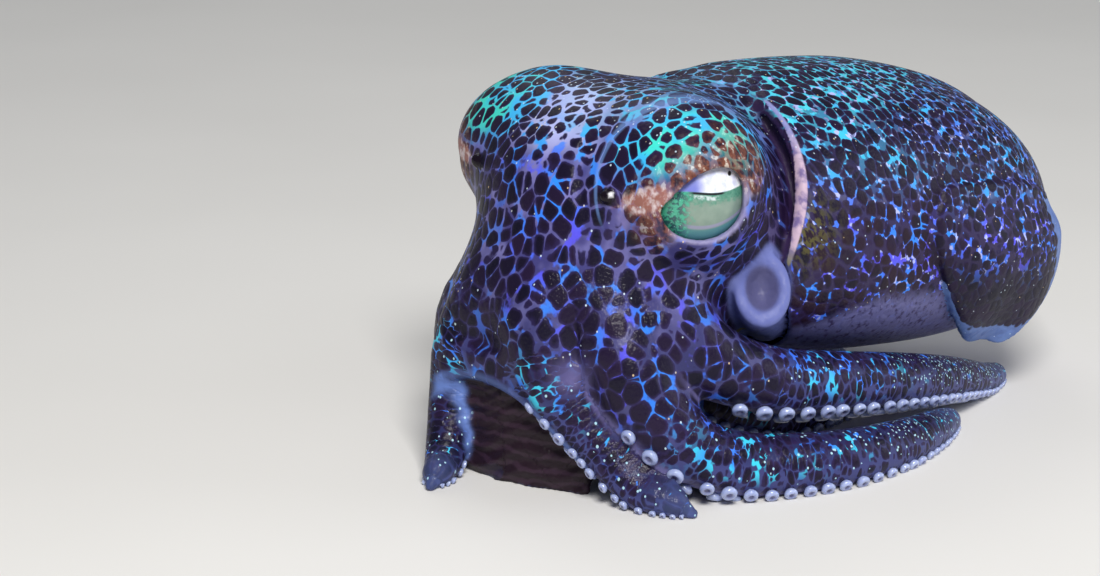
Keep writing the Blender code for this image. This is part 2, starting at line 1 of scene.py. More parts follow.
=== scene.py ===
"""Bobtail squid: one wet, iridescent skin with eyes and rows of suckers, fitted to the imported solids.

The skin is the zero level of a distance field of mantle, head, arms, funnel and fins. Sizes are in
millimetres in the animal's own frame, whose offset from the row frame comes from the left eye's box.
"""

import math
from collections import namedtuple
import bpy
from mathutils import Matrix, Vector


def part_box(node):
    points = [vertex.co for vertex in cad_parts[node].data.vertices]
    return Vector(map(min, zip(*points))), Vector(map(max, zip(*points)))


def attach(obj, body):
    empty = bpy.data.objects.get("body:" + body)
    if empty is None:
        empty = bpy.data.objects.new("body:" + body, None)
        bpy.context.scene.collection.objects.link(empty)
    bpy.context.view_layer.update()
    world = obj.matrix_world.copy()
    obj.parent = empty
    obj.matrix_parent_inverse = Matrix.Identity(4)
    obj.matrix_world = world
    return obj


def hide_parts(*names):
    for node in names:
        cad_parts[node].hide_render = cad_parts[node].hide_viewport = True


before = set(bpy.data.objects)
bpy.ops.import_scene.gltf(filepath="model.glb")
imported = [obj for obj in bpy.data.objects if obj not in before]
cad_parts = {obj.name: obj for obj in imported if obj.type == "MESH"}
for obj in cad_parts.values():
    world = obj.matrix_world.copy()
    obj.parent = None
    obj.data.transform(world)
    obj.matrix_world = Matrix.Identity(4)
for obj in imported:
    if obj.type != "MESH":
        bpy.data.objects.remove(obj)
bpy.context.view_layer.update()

from concurrent.futures import ThreadPoolExecutor

import bpy
import numpy as np
from mathutils import Vector

MM = 0.001
SIDES = {"left": -1.0, "right": 1.0}
SEED = 11

# Mantle: a blunt sac along X, open at the front, whose axis droops towards the tail.
MANTLE_MIDDLE_X = 16.5
MANTLE_FRONT_X = 0.2
MANTLE_FRONT_TILT = math.atan(0.28)
MANTLE_REAR_LENGTH = 20.9
MANTLE_FRONT_LENGTH = 30.0
MANTLE_HALF_WIDTH = 13.6
MANTLE_HALF_HEIGHT = 11.4
MANTLE_AXIS_Z = 15.6
MANTLE_AXIS_SLOPE = -0.11
MANTLE_AXIS_DROOP = 0.0035
MANTLE_POWER = 2.3
MANTLE_WALL = 1.0
MANTLE_RIM_DEPTH = 0.9
MANTLE_RIM_ROUND = 0.5
NAPE_HALF_WIDTH = 4.5
NAPE_RISE = 5.0
NAPE_BLEND = 3.5
NAPE_ROUND = 3.0
RIM_WIDEST_Z = 20.5
RIM_SPREAD = 3.2
RIM_SOFT = 0.3
GROOVE_ROUND = 0.4
EDGE_ROUND = 0.3
BELLY_ANGLE = 109
BELLY_FRONT_ANGLE = 18
SADDLE_SPREAD = 4.5
OLIVE_PATCH = np.array((1.8, -12.2, 18.0))
OLIVE_RADIUS = 2.4

# Head: a broad core with an eye bulge on each side, tapering down into the crown of arms.
HEAD_CENTRE = np.array((-5.0, 0.0, 18.4))
HEAD_RADII = (10.8, 10.6, 9.9)
HEAD_POWER = 2.2
NECK_CENTRE = np.array((0.6, 0.0, 16.6))
NECK_RADII = (7.4, 10.8, 9.4)
EYE_BULGE = np.array((-6.3, 7.2, 22.2))
EYE_BULGE_RADIUS = 6.2
CROWN_CENTRE = np.array((-10.6, 0.0, 12.8))
CROWN_RADII = (7.6, 8.6, 6.6)
HEAD_BLEND = 3.0
ARM_BLEND = 2.2
ARM_TOUCH = 0.25
MOUTH_HOLLOW = np.array((-10.4, 0.0, 4.6))
MOUTH_HOLLOW_RADII = (5.2, 5.6, 4.6)
HEAD_INSIDE = np.array((-8.5, 0.0, 16.0))
LIPS_CENTRE = np.array((-10.4, 0.0, 9.6))
LIPS_RADII = (1.9, 1.9, 1.3)
MOUTH_RADII = (0.9, 0.7, 0.7)
LIPS_BLEND = 0.4

# Eyes: they look out and forwards through an almond opening between two lids.
EYE_RADIUS = 4.6
EYE_DEPTH = 2.1
EYE_YAW = math.radians(28.0)
EYE_PITCH = math.radians(-4.0)
EYE_CLEARANCE = 0.06
LID_THICKNESS = 0.65
LID_BLEND = 0.8
LID_ROUND = 0.3
SOCKET_ROUND = 0.1
EYE_OPENING = (3.0, 2.4)
EYE_SLANT = 0.33
EYE_RAISE = 0.25
PAPILLA = np.array((-12.9, 6.6, 21.6))
PAPILLA_RADIUS = 0.55
PAPILLA_BLEND = 0.25
PAPILLA_GLINT = (-0.25, 0.55, 0.8)
BLUSH_PLACE = (3.8, 0.5)
BLUSH_LEAN = (0.86, 0.51)
BLUSH_SIZE = (1.6, 0.8)
FAR_BLUSH = 1.3
FAR_FROM_BLUSH = 9.0
CORNER_PLACE = (-4.3, 2.0)
CORNER_SIZE = (1.0, 1.6)
FAR_DOME_RADIUS = 8.5
CREASE_RADIUS = 6.9
CREASE_OVAL = 1.11
CREASE_WIDTH = 0.25
CREASE_RISE = 0.1
CREASE_GROOVE = 0.3
CREASE_GROOVE_OUT = 0.7
CREASE_GROOVE_WIDE = 2.5
CREASE_END = (-3.4, -2.4)

# Funnel: a soft tube that leaves the mantle's mouth and turns out under the left eye.
FUNNEL_PATH = ((5.4, -4.3, 10.4), (2.6, -7.3, 11.4), (-0.5, -9.6, 13.1), (-2.2, -11.8, 14.4))
FUNNEL_RADII = (2.6, 2.5, 2.2, 2.5)
FUNNEL_OVAL = 1.16
FUNNEL_BORE_RADII = (1.3, 1.6)
FUNNEL_BORE_ENDS = (0.2, 2.0)
FUNNEL_BLEND = 0.5
FUNNEL_LIP_ROUND = 0.5
FUNNEL_BORE_ROUND = 0.7
FUNNEL_GAP = 0.35
FUNNEL_STEP = 1.2

# Fins: thin lobes rooted along the rear flank, folded down against the body.
FIN_MIDDLE_X = 23.0
FIN_LENGTH = 17.0
FIN_WIDEST = 0.33
FIN_OUTLINE = 1.07
FIN_ROOT_ANGLE = math.radians(75.0)
FIN_SWEEP = math.radians(60.0)
FIN_CORNER = 0.35
FIN_CORNER_POWER = 5
FIN_ROOT_GAP = 0.38
FIN_STAND_OFF = 1.3
FIN_HUG = (-0.05, 0.5)
FIN_STAND_POWER = 0.8
FIN_WAVE = 0.45
FIN_WAVES = 1.5
FIN_THICKNESS = 0.8
FIN_EDGE_THICKNESS = 0.42
FIN_REACH = 13.0
FIN_ROOT_BLEND = 1.1
FIN_FREE_BLEND = 0.2
FIN_ROOT_DEPTH = 0.06
FIN_STAND_ROUNDS = 6
FIN_EDGE_ROUNDS = 3
FIN_DEEPEST = -6.0
FIN_BOX_X = (11, 35)
FIN_BOX_Y = 3
FIN_BOX_Z = 23

# Arms: waypoints of each centre line from the crown to the tip, with the radius at the root.
ARM_TIP_RADIUS = 0.4
ARM_TAPER = 0.42
ARM_REST_SHARE = 0.74
ARM_FLAT = 0.18
ARM_PATHS = {
    "arm_left_1": (2.7, [(-11.5, -2.0, 15.0), (-15.3, -2.6, 12.6), (-16.2, -4.0, 9.2), (-15.3, -5.7, 6.2),
                         (-14.2, -7.9, 3.7), (-13.6, -10.4, 1.6), (-13.0, -12.9, 0.4), (-12.0, -15.1, 0.0)]),
    "arm_left_2": (3.1, [(-10.8, -4.5, 14.5), (-12.4, -7.8, 11.0), (-11.6, -9.8, 6.9), (-9.3, -12.1, 3.4),
                         (-5.6, -13.9, 2.0), (-1.8, -15.6, 1.4), (2.7, -16.7, 1.0), (8.0, -16.6, 0.8),
                         (13.2, -15.3, 0.4), (17.4, -13.6, 0.0)]),
    "arm_left_3": (3.1, [(-8.5, -5.0, 14.0), (-8.6, -8.8, 11.8), (-5.4, -10.4, 8.8), (-0.8, -11.5, 6.8),
                         (4.9, -12.3, 5.7), (11.3, -12.5, 4.6), (18.4, -11.4, 3.0), (24.6, -9.8, 1.3),
                         (29.2, -8.4, 0.0)]),
    "arm_left_4": (2.6, [(-8.0, -2.5, 12.5), (-6.2, -4.4, 9.0), (-3.4, -5.2, 5.2), (1.6, -5.8, 2.6),
                         (8.0, -6.2, 1.0), (14.5, -5.7, 0.0), (20.5, -4.5, 0.0), (24.5, -3.6, 0.0)]),
    "arm_right_1": (2.7, [(-11.5, 2.0, 15.0), (-15.3, 3.2, 12.8), (-16.7, 4.9, 9.6), (-17.7, 4.8, 5.6),
                          (-19.3, 3.7, 2.4), (-21.1, 2.3, 0.8), (-22.8, 1.3, 0.0)]),
    "arm_right_2": (3.1, [(-10.8, 4.5, 14.5), (-12.7, 7.9, 11.0), (-12.7, 9.3, 7.4), (-11.8, 9.5, 4.5),
                          (-9.6, 10.0, 2.5), (-6.2, 11.8, 1.6), (-1.8, 14.8, 1.0), (3.4, 16.4, 0.8),
                          (8.6, 16.1, 0.4), (13.4, 14.7, 0.0)]),
    "arm_right_3": (3.1, [(-8.5, 5.0, 14.0), (-8.6, 8.8, 11.8), (-5.4, 10.4, 8.8), (-0.8, 11.5, 6.8),
                          (4.9, 12.3, 5.7), (11.3, 12.6, 4.6), (17.9, 12.2, 3.0), (23.4, 11.3, 1.3),
                          (27.4, 10.4, 0.0)]),
    "arm_right_4": (2.6, [(-8.0, 2.5, 12.5), (-6.2, 4.4, 9.0), (-3.4, 5.2, 5.2), (1.6, 5.8, 2.6),
                          (8.0, 6.3, 1.0), (14.5, 6.1, 0.0), (20.0, 5.2, 0.0), (23.8, 4.5, 0.0)]),
}
ARM_CROWN_SHARE = {"1": 0.36, "2": 0.30, "3": 0.27, "4": 0.27}
ARM_FREE_SHARE = 0.14
GLINT_SHARE = {"1": 0.3, "2": 0.6, "3": 1.0, "4": 0.5}
WEB_PATCH = np.array((-16.3, -6.7, 9.3))
WEB_PATCH_RADIUS = 1.2
ARM_PATTERN_SCALE = np.array((1.55, 0.9, 17.0))
ARM_STEP = 1.4
FACING_DOWN_Z = 6.0
FACING_IN_Z = 12.0

# Web and its hood behind the arch between the two front arms.
CURTAIN_ENDS = ((-14.4, -6.8), (-17.9, 4.6))
CURTAIN_TOP = 10.0
HOOD_EDGE = 7.6
HOOD_DROP = 9.0
HOOD_PEAK_SHARE = 0.72
HOOD_FORWARD = 0.5
HOOD_THICKNESS = 1.6
CURTAIN_SAG = 1.0
CURTAIN_THICKNESS = 0.7
CURTAIN_RIPPLE = 0.14
CURTAIN_RIPPLES = 4.0
CURTAIN_BLEND = 1.0
CURTAIN_ROUND = 0.3
HOOD_ROUND = 0.5
HOOD_BLEND = 0.4

# Skin mesh: grid step, blocks that are tested first, and passes that settle it on the field.
SKIN_STEP = 0.22
SKIN_BLOCK = 6
SKIN_REACH = 1.3
SKIN_BOX = ((-30.0, -24.0, -1.5), (42.0, 24.0, 31.0))
SKIN_CHUNK = 16000
SKIN_PASSES = 2
PROBE = 0.02
FAR = 3.2
CURVE_STEPS = 24
RAY_START = 25.0
RAY_ROUNDS = 90
RAY_SHARE = 0.7

# Suckers: cups on short stalks in four rows, from the crown to the tip of each arm.
SUCKER_ROWS = ((-58.0, 0.0), (-22.0, 0.5), (22.0, 0.0), (58.0, 0.5))
SUCKER_SHARE = 0.23
SUCKER_LEAST = 0.16
SUCKER_VARIATION = (0.92, 1.08)
SUCKER_PITCH = 2.7
SUCKER_START_SHARE = 0.24
SUCKER_END_GAP = 0.4
SUCKER_SIDES = 16
SUCKER_PROFILE = ((0.55, -0.7), (0.6, -0.2), (0.82, 0.1), (0.98, 0.36), (1.0, 0.6), (0.86, 0.84),
                  (0.64, 0.94), (0.42, 0.88), (0.3, 0.72), (0.18, 0.62), (0.02, 0.62))
SUCKER_CUP_DEPTH = (0.0,) * 6 + (0.15, 0.5, 0.9, 1.0, 1.0)
SUCKER_PATH_STEP = 0.35
SUCKER_LOWEST = 0.2

# Eyeballs: rings and sides of each, and the angle left open at its poles.
EYE_RINGS = 48
EYE_SIDES = 64
EYE_POLE = 0.002

# Pattern: cells to the millimetre, how round and uneven they are, where they grow, and the painted glints of
# highlight.
BODY_CELLS = 0.84
ARM_CELLS = 1.05
CELL_WARP = 0.5
CELL_RANDOMNESS = 0.72
CELL_ROUND = 0.3
CELL_NUMBER_STEP = 7.31
LOW_CELLS = 0.82
LOW_CELLS_X = (-3, 6)
REAR_CELLS = 0.22
REAR_CELLS_X = (4, 20)
# Heights where the net brightens on top and darkens low down, partly painted light from above.
NET_TOP_Z = (18.0, 25.0)
NET_LOW_Z = (17.0, 8.0)
ARM_NET_SHARE = (0.22, 0.36)
NET_SOFT = 0.04
GLINT_SCALE = 3.2
GLINT_NUMBER_STEP = 5.7
CURTAIN_LINES = 7.5
SLIT_HEIGHT = 1.1
SLIT_HOOK = (-2.05, 2.2, 0.0)

# Heights of the fine relief and depth of the light in the flesh, in metres.
RELIEF_HEIGHT = 0.00009
FILM_HEIGHT = 0.0001
LIGHT_DEPTH = 0.0006

# Colours: red, green and blue, in pairs where the surface varies between two.
CELL = ((0.003, 0.002, 0.014), (0.014, 0.006, 0.032))
RUDDY_CELL = (0.024, 0.008, 0.020)
CELL_EDGE = (0.05, 0.035, 0.18)
LAVENDER = ((0.055, 0.05, 0.20), (0.20, 0.19, 0.48))
# Darker net low down, partly painted shade.
LOW_LAVENDER = (0.028, 0.030, 0.11)
SADDLE = (0.60, 0.61, 0.94)
NECK = (0.035, 0.02, 0.075)
MANTLE_NET = (0.03, 0.02, 0.075)
ARM_NET = ((0.048, 0.055, 0.19), (0.020, 0.023, 0.09))
FIN_NET = (0.009, 0.007, 0.022)
BLUE = ((0.10, 0.09, 0.85), (0.03, 0.25, 1.0))
TEAL = ((0.04, 0.48, 0.92), (0.05, 0.72, 0.60))
FRONT_TEAL = (0.05, 0.58, 0.72)
CREST = ((0.05, 0.55, 0.85), (0.10, 0.75, 0.70))
PALE_STROKE = (0.45, 0.50, 0.95)
ARM_BLUE = ((0.03, 0.22, 0.92), (0.05, 0.66, 0.80))
SEAM = ((0.05, 0.045, 0.15), (0.17, 0.15, 0.36))
BELLY = ((0.16, 0.16, 0.38), (0.06, 0.045, 0.14))
OLIVE = (0.13, 0.12, 0.03)
INNER = ((0.05, 0.03, 0.10), (0.16, 0.16, 0.38))
CURTAIN = ((0.016, 0.007, 0.014), (0.034, 0.017, 0.032))
WEB_EDGE = (0.12, 0.20, 0.52)
ARM_TIP = (0.10, 0.15, 0.38)
FIN_MARGIN = ((0.07, 0.12, 0.38), (0.18, 0.30, 0.64))
FUNNEL = ((0.09, 0.11, 0.34), (0.17, 0.20, 0.48))
BORE = (0.09, 0.09, 0.21)
# Painted shade in the groove behind the mantle's rim.
GROOVE_SHADE = (0.03, 0.015, 0.06)
RIM = ((0.20, 0.15, 0.34), (0.56, 0.42, 0.54))
RIM_TOP = (0.26, 0.28, 0.58)
RIM_LOW = (0.20, 0.19, 0.10)
CREASE_LINE = (0.18, 0.34, 0.76)
RUST = ((0.025, 0.010, 0.020), (0.20, 0.065, 0.035))
LID_FLECK = (0.60, 0.50, 0.42)
LOWER_LID = ((0.16, 0.14, 0.34), (0.42, 0.40, 0.60))
BLUSH = ((0.36, 0.15, 0.12), (0.74, 0.62, 0.64))
BEAD = (0.006, 0.003, 0.008)
# Painted highlight on the dark bead.
BEAD_HIGHLIGHT = (0.9, 0.9, 0.95)
# Painted glints of highlight: pale specks on the body, and on the arms.
GLINT_SPECK = ((0.62, 0.76, 0.90), (0.75, 0.55, 0.30))
ARM_GLINT_SPECK = (0.50, 0.82, 0.97)
SUCKER_PEARL = ((0.22, 0.27, 0.56), (0.48, 0.56, 0.82))
SUCKER_CUP = (0.12, 0.12, 0.30)
IRIS = ((0.15, 0.24, 0.20), (0.29, 0.38, 0.32))
IRIS_GREEN = ((0.02, 0.17, 0.12), (0.14, 0.36, 0.26))
IRIS_LOW = (0.07, 0.25, 0.27)
IRIS_ARC = (0.30, 0.28, 0.46)
IRIS_TEAL = ((0.01, 0.08, 0.09), (0.05, 0.40, 0.26))
IRIS_FLECK = (0.30, 0.60, 0.55)
# The eye's silver band, partly a painted highlight.
SILVER_AND_HIGHLIGHT = ((0.88, 0.90, 0.98), (0.60, 0.64, 0.84))
BAND_BLUE = (0.17, 0.20, 0.62)
STREAK = (0.72, 0.80, 0.84)
SLIT = (0.003, 0.003, 0.01)
FLOOR = ((0.74, 0.73, 0.71), (0.80, 0.79, 0.77))

# Zones on the arms: limits in mm, in shares of the arm's length, and in cosines of the angle round it.
ARM_ZONE = (-0.3, 1.6)
SEAM_GAP = (0.25, 0.9)
SEAM_ON_ARM = (0.3, 0.8)
SEAM_START = (0.15, 0.3)
SEAM_END = (0.5, 0.7)
ARM_TOP_SIDE = (0.0, 0.75)
BAR_SIDE = (-0.4, 0.2)
BAR_START = (0.2, 0.3)
BAR_END = (0.45, 0.6)
GLINT_SIDE = (-0.2, 0.4)
GLINT_START = (0.45, 0.7)
INNER_SIDE = (0.35, 0.75)

# Zones on mantle and neck: limits of depth behind the rim, depth under the surface, and place in X and Z.
MANTLE_SURFACE = (0.3, 0.9)
MANTLE_START = (-0.5, 0.1)
MANTLE_NAPE_REACH = (2, 3)
NECK_START = (-4.2, -2.4)
NECK_END = (0.2, 0.6)
NECK_TOP_Z = (22, 25)
BELLY_FRONT_X = (0, 11)
BELLY_EDGE = (-2, 5)
RIM_DEPTH = 0.05
RIM_WIDTHS = (0.04, 0.2)
RIM_THICKNESSES = (0.15, 0.6)
RIM_FACE_START = (-0.3, 0.0)
RIM_FACE_UNDER = (0.3, 0.6)
RIM_FACE_END = (1.3, 1.8)
# Where the painted shade in the groove behind the rim begins.
GROOVE_SHADE_START = (0.1, 0.6)
GROOVE_SHADE_UNDER = (0.5, 1.0)
SADDLE_Z = (23.5, 26.0)
SADDLE_X = (-8, -4)
RUDDY_X = (8, 20)
RUDDY_Z = (17, 22)
CREST_Z = (23.5, 26.5)
CREST_X = (22, 30)

# Zones of fins, funnel, eyes and web.
FIN_ZONE = (0.3, 0.6)
FIN_ZONE_X = 10
FIN_ZONE_HEIGHT = 0.65
FIN_ZONE_OUT = (0.02, 1.15)
FIN_ZONE_ALONG = 0.56
MARGIN_EDGE = (0.9, 2.7)
FUNNEL_ZONE = (0.25, 0.7)
BORE_ZONE = (0.05, 0.35)
UPPER_LID_UP = (0.0, 1.5)
UPPER_LID_ACROSS = (1.5, 3.0)
UPPER_LID_SHARE = 0.9
LID_EDGE = (1.02, 1.15)
LID_RING = 2.5
LID_REAR = (1.4, 1.6)
DOME_EDGE = 0.6
DOME_UP = (0.5, 3.0)
DOME_OUT = (-5.5, -4.0)
CORNER_EDGE = (0.6, 1.2)
CORNER_SHARE = 0.8
BEAD_EDGE = (0.05, 0.2)
BEAD_HIGHLIGHT_EDGE = (0.1, 0.25)
CREASE_Z = (19.5, 21.5)
WEB_APART = (0.1, 0.35)
CURTAIN_EDGE = (0.05, 0.3)
CURTAIN_BELOW_EDGE = (-0.3, 0.0)
WEB_EDGE_THIN = np.array((0.2, 0.8))
WEB_EDGE_ON_LEG = np.array((0.2, 0.5))
WEB_EDGE_ABOVE = (0.5, 1.0)
WEB_EDGE_SHARE = 0.4

# Camera and stage, from the photo's view.
PHOTO_SIZE = (1100, 576)
FOCAL_PIXELS = 2520.0
SENSOR = 36.0
CAMERA_AZIMUTH = math.radians(-40.0)
CAMERA_ELEVATION = math.radians(16.0)
CAMERA_PLACE = np.array((-127.36, -136.87, 64.96))
CAMERA_CLIP = 0.005
FLOOR_SIZE = 1.5
FLOOR_GAP = 0.00002
LIT_PLACE = (0, 0, 0.014)
STUDIO_LIGHT = (0.85, 0.88, 0.92, 1.0)
STUDIO_STRENGTH = 0.22

Arm = namedtuple("Arm", "line radii front side along crown low high")


# Distance fields


def blob(points, centre, radii, power=2.0):
    """Distance to a rounded box or ellipsoid, exact close to its surface."""
    local = (points - centre) / radii
    size = np.maximum((np.abs(local) ** power).sum(axis=1), 1e-12) ** (1 / power)
    slope = np.abs(local) ** (power - 1) / radii * size[:, None] ** (1 - power)
    return (size - 1) / np.maximum(np.linalg.norm(slope, axis=1), 1e-9)


def ball(points, centre, radius):
    return np.linalg.norm(points - centre, axis=1) - radius


def joined(a, b, blend):
    """Smooth union of two distances, rounded over a width of blend."""
    share = np.clip(0.5 + 0.5 * (b - a) / blend, 0, 1)
    return b + (a - b) * share - blend * share * (1 - share)


def shared(a, b, blend):
    """The part that two distances have in common, rounded over a width of blend."""
    return -joined(-a, -b, blend)


def carved(a, cutter, blend):
    """Distance a with the shape of distance cutter taken away, rounded over blend."""
    return -joined(-a, cutter, blend)


def ease(value, low, high):
    """0 below low, 1 above high and smooth between them."""
    t = np.clip((value - low) / (high - low), 0, 1)
    return t * t * (3 - 2 * t)


def fade(value, low, high):
    """1 below low, 0 above high and smooth between them."""
    return 1 - ease(value, low, high)


def unit(vectors):
    return vectors / np.linalg.norm(vectors, axis=-1)[..., None]


def smooth_path(points, step):
    """Smooth curve through all of the points, resampled at about the given step."""
    ends = np.vstack([2 * points[0] - points[1], points, 2 * points[-1] - points[-2]])
    dense = []
    for i in range(1, len(ends) - 2):
        p0, p1, p2, p3 = ends[i - 1 : i + 3]
        for t in np.linspace(0, 1, CURVE_STEPS, endpoint=False):
            dense.append(0.5 * (2 * p1 + (p2 - p0) * t + (2 * p0 - 5 * p1 + 4 * p2 - p3) * t**2
                                + (3 * p1 - p0 - 3 * p2 + p3) * t**3))
    dense = np.array(dense + [points[-1]])
    along = np.concatenate([[0], np.cumsum(np.linalg.norm(np.diff(dense, axis=0), axis=1))])
    places = np.linspace(0, along[-1], max(3, round(along[-1] / step)) + 1)
    return np.column_stack([np.interp(places, along, dense[:, k]) for k in range(3)])


def frames(facing, tangent):
    """The facing direction made square to the tangent, and the side direction, along a path."""
    tangent = unit(tangent)
    front = unit(facing - (facing * tangent).sum(axis=1)[:, None] * tangent)
    return front, np.cross(tangent, front)


def arm_facing(line):
    """The direction of an arm's sucker side: in towards the mouth high up, and down on the floor."""
    height = np.clip((line[:, 2] - FACING_DOWN_Z) / (FACING_IN_Z - FACING_DOWN_Z), 0, 1)[:, None]
    return unit(MOUTH_HOLLOW - line) * height + np.array((0, 0, -1.0)) * (1 - height)


def make_arm(name, step=ARM_STEP):
    root, waypoints = ARM_PATHS[name]
    line = smooth_path(np.array(waypoints), step)
    radii = ARM_TIP_RADIUS + (root - ARM_TIP_RADIUS) * (1 - np.linspace(0, 1, len(line))) ** ARM_TAPER
    line[:, 2] = np.maximum(line[:, 2], ARM_REST_SHARE * radii)
    front, side = frames(arm_facing(line), np.gradient(line, axis=0))
    along = np.concatenate([[0], np.cumsum(np.linalg.norm(np.diff(line, axis=0), axis=1))])
    return Arm(line, radii, front, side, along, ARM_CROWN_SHARE[name[-1]], line.min(0), line.max(0))


ARMS = {name: make_arm(name) for name in ARM_PATHS}


def nearest_stretch(points, line, radii):
    """The stretch of a line that each point lies nearest to, less the radius, and the share along it."""
    x, y, z = points.T
    best = np.full(len(points), np.inf)
    stretch, share = np.zeros(len(points), int), np.zeros(len(points))
    for k in range(len(line) - 1):
        ax, ay, az = line[k]
        sx, sy, sz = line[k + 1] - line[k]
        px, py, pz = x - ax, y - ay, z - az
        t = (px * sx + py * sy + pz * sz) / (sx * sx + sy * sy + sz * sz)
        np.clip(t, 0, 1, out=t)
        px -= t * sx
        py -= t * sy
        pz -= t * sz
        distance = np.sqrt(px * px + py * py + pz * pz) - radii[k] - t * (radii[k + 1] - radii[k])
        closer = distance < best
        best[closer] = distance[closer]
        stretch[closer] = k
        share[closer] = t[closer]
    return stretch, share


def between(values, stretch, share):
    """Values along a line, read between its points."""
    share = share if values.ndim == 1 else share[:, None]
    return values[stretch] + share * (values[stretch + 1] - values[stretch])


def arm_distance(points, arm):
    """Distance to an arm, with the nearest place along it in mm, the angle round it and its radius there."""
    best = np.full(len(points), FAR)
    along, angle, size = np.zeros((3, len(points)))
    near = np.all((points > arm.low - FAR) & (points < arm.high + FAR), axis=1)
    close = points[near]
    place = nearest_stretch(close, arm.line, arm.radii)
    away = close - between(arm.line, *place)
    down = (away * between(arm.front, *place)).sum(axis=1)
    aside = (away * between(arm.side, *place)).sum(axis=1)
    radial = np.maximum(np.linalg.norm(away, axis=1), 1e-6)
    size[near] = between(arm.radii, *place)
    best[near] = radial - size[near] * (1 - ARM_FLAT * (np.maximum(down, 0) / radial) ** 2)
    along[near] = between(arm.along, *place)
    angle[near] = np.arctan2(aside, -down)
    return best, along, angle, size


def gaze(side):
    flat = math.cos(EYE_PITCH)
    return np.array([-math.sin(EYE_YAW) * flat, side * math.cos(EYE_YAW) * flat, math.sin(EYE_PITCH)])


def eye_centre(side):
    return EYE_BULGE * (1, side, 1) + gaze(side) * EYE_DEPTH


def eye_frame(side):
    """Directions across the eye towards the animal's front, up, and out along the gaze."""
    ahead = gaze(side)
    across = unit(np.cross(ahead, (0, 0, 1))) * -side
    return across, unit(np.cross(ahead, across)) * side, ahead


def opening_ring(across, up):
    """1 along the edge of the lids' opening, whose upper edge rises towards the tail."""
    upper = ease(up, -0.5, 1.0)
    slanted = up + EYE_SLANT * across * upper
    return np.hypot(across / EYE_OPENING[0], slanted / (EYE_OPENING[1] + EYE_RAISE * upper))


def eye_place(points, side):
    """Place across and up from the middle of an eye, and depth out along its gaze."""
    local = points - eye_centre(side)
    return [local @ axis for axis in eye_frame(side)]


def mantle_place(points):
    """Place relative to the mantle's middle, on its drooping axis, with the half length at each point."""
    behind = np.maximum(points[:, 0] - MANTLE_MIDDLE_X, 0)
    dx = points[:, 0] - MANTLE_MIDDLE_X
    axis_z = MANTLE_AXIS_Z + MANTLE_AXIS_SLOPE * dx - MANTLE_AXIS_DROOP * behind**2
    local = np.column_stack([dx, points[:, 1], points[:, 2] - axis_z])
    return local, np.where(dx > 0, MANTLE_REAR_LENGTH, MANTLE_FRONT_LENGTH)


def mantle_blob(points, inset=0.0):
    local, lengths = mantle_place(points)
    wide, high = (np.full_like(lengths, size) for size in (MANTLE_HALF_WIDTH, MANTLE_HALF_HEIGHT))
    return blob(local, 0, np.column_stack([lengths, wide, high]) - inset, MANTLE_POWER)


def rim_depth(points):
    """Distance behind the sloping plane of the mantle's free rim."""
    normal = np.array((math.cos(MANTLE_FRONT_TILT), 0, -math.sin(MANTLE_FRONT_TILT)))
    return (points - (MANTLE_FRONT_X, 0, MANTLE_AXIS_Z)) @ normal


def nape(points):
    """1 over the strip on top where head and mantle are grown together, 0 elsewhere."""
    local, _ = mantle_place(points)
    high = ease(local[:, 2], NAPE_RISE - 2, NAPE_RISE + 2)
    return high * fade(np.abs(points[:, 1]), NAPE_HALF_WIDTH - 2, NAPE_HALF_WIDTH + 2)


def core_field(points):
    """Head, eye bulges with their lids, and crown, without the arms."""
    field = blob(points, HEAD_CENTRE, HEAD_RADII, HEAD_POWER)
    field = joined(field, blob(points, NECK_CENTRE, NECK_RADII), HEAD_BLEND)
    for side in SIDES.values():
        field = joined(field, ball(points, EYE_BULGE * (1, side, 1), EYE_BULGE_RADIUS), HEAD_BLEND)
        lid_radius = EYE_RADIUS + EYE_CLEARANCE + LID_THICKNESS
        field = joined(field, ball(points, eye_centre(side), lid_radius), LID_BLEND)
    field = joined(field, blob(points, CROWN_CENTRE, CROWN_RADII), HEAD_BLEND)
    return carved(field, blob(points, MOUTH_HOLLOW, MOUTH_HOLLOW_RADII), ARM_BLEND)


def with_arms(field, points):
    """Adds the arms, webbed together near the crown and free beyond it."""
    for arm in ARMS.values():
        distance, along, _, _ = arm_distance(points, arm)
        free = ease(along / arm.along[-1], arm.crown, arm.crown + ARM_FREE_SHARE)
        field = joined(field, distance, ARM_BLEND + (ARM_TOUCH - ARM_BLEND) * free)
    return field


def mantle_field(points, funnel):
    """The sac with its free rim and the groove behind it."""
    depth = rim_depth(points)
    rounding = MANTLE_RIM_ROUND + (NAPE_ROUND - MANTLE_RIM_ROUND) * nape(points)
    sac = shared(mantle_blob(points), -depth, rounding)
    groove = shared(mantle_blob(points, MANTLE_WALL), depth - MANTLE_RIM_DEPTH, GROOVE_ROUND)
    groove = groove + FAR * nape(points)
    return carved(carved(sac, groove, EDGE_ROUND), funnel - FUNNEL_GAP, EDGE_ROUND)


FUNNEL_LINE = smooth_path(np.array(FUNNEL_PATH), FUNNEL_STEP)
FUNNEL_SIZES = np.interp(np.linspace(0, len(FUNNEL_RADII) - 1, len(FUNNEL_LINE)), range(len(FUNNEL_RADII)),
                         FUNNEL_RADII)


def oval_chain(points, line, radii):
    """Distance to a tube along a line, deeper than wide by its oval share."""
    tangent = unit(np.gradient(line, axis=0))
    down, side = frames(np.broadcast_to((0, 0, -1.0), line.shape), tangent)
    place = nearest_stretch(points, line, radii)
    away = points - between(line, *place)
    down, side = between(down, *place), between(side, *place)
    deep = (away * down).sum(axis=1)
    wide = (away * side).sum(axis=1)
    rest = away - deep[:, None] * down - wide[:, None] * side
    radial = np.sqrt((deep / FUNNEL_OVAL) ** 2 + (wide * FUNNEL_OVAL) ** 2 + (rest**2).sum(axis=1))
    return radial - between(radii, *place)


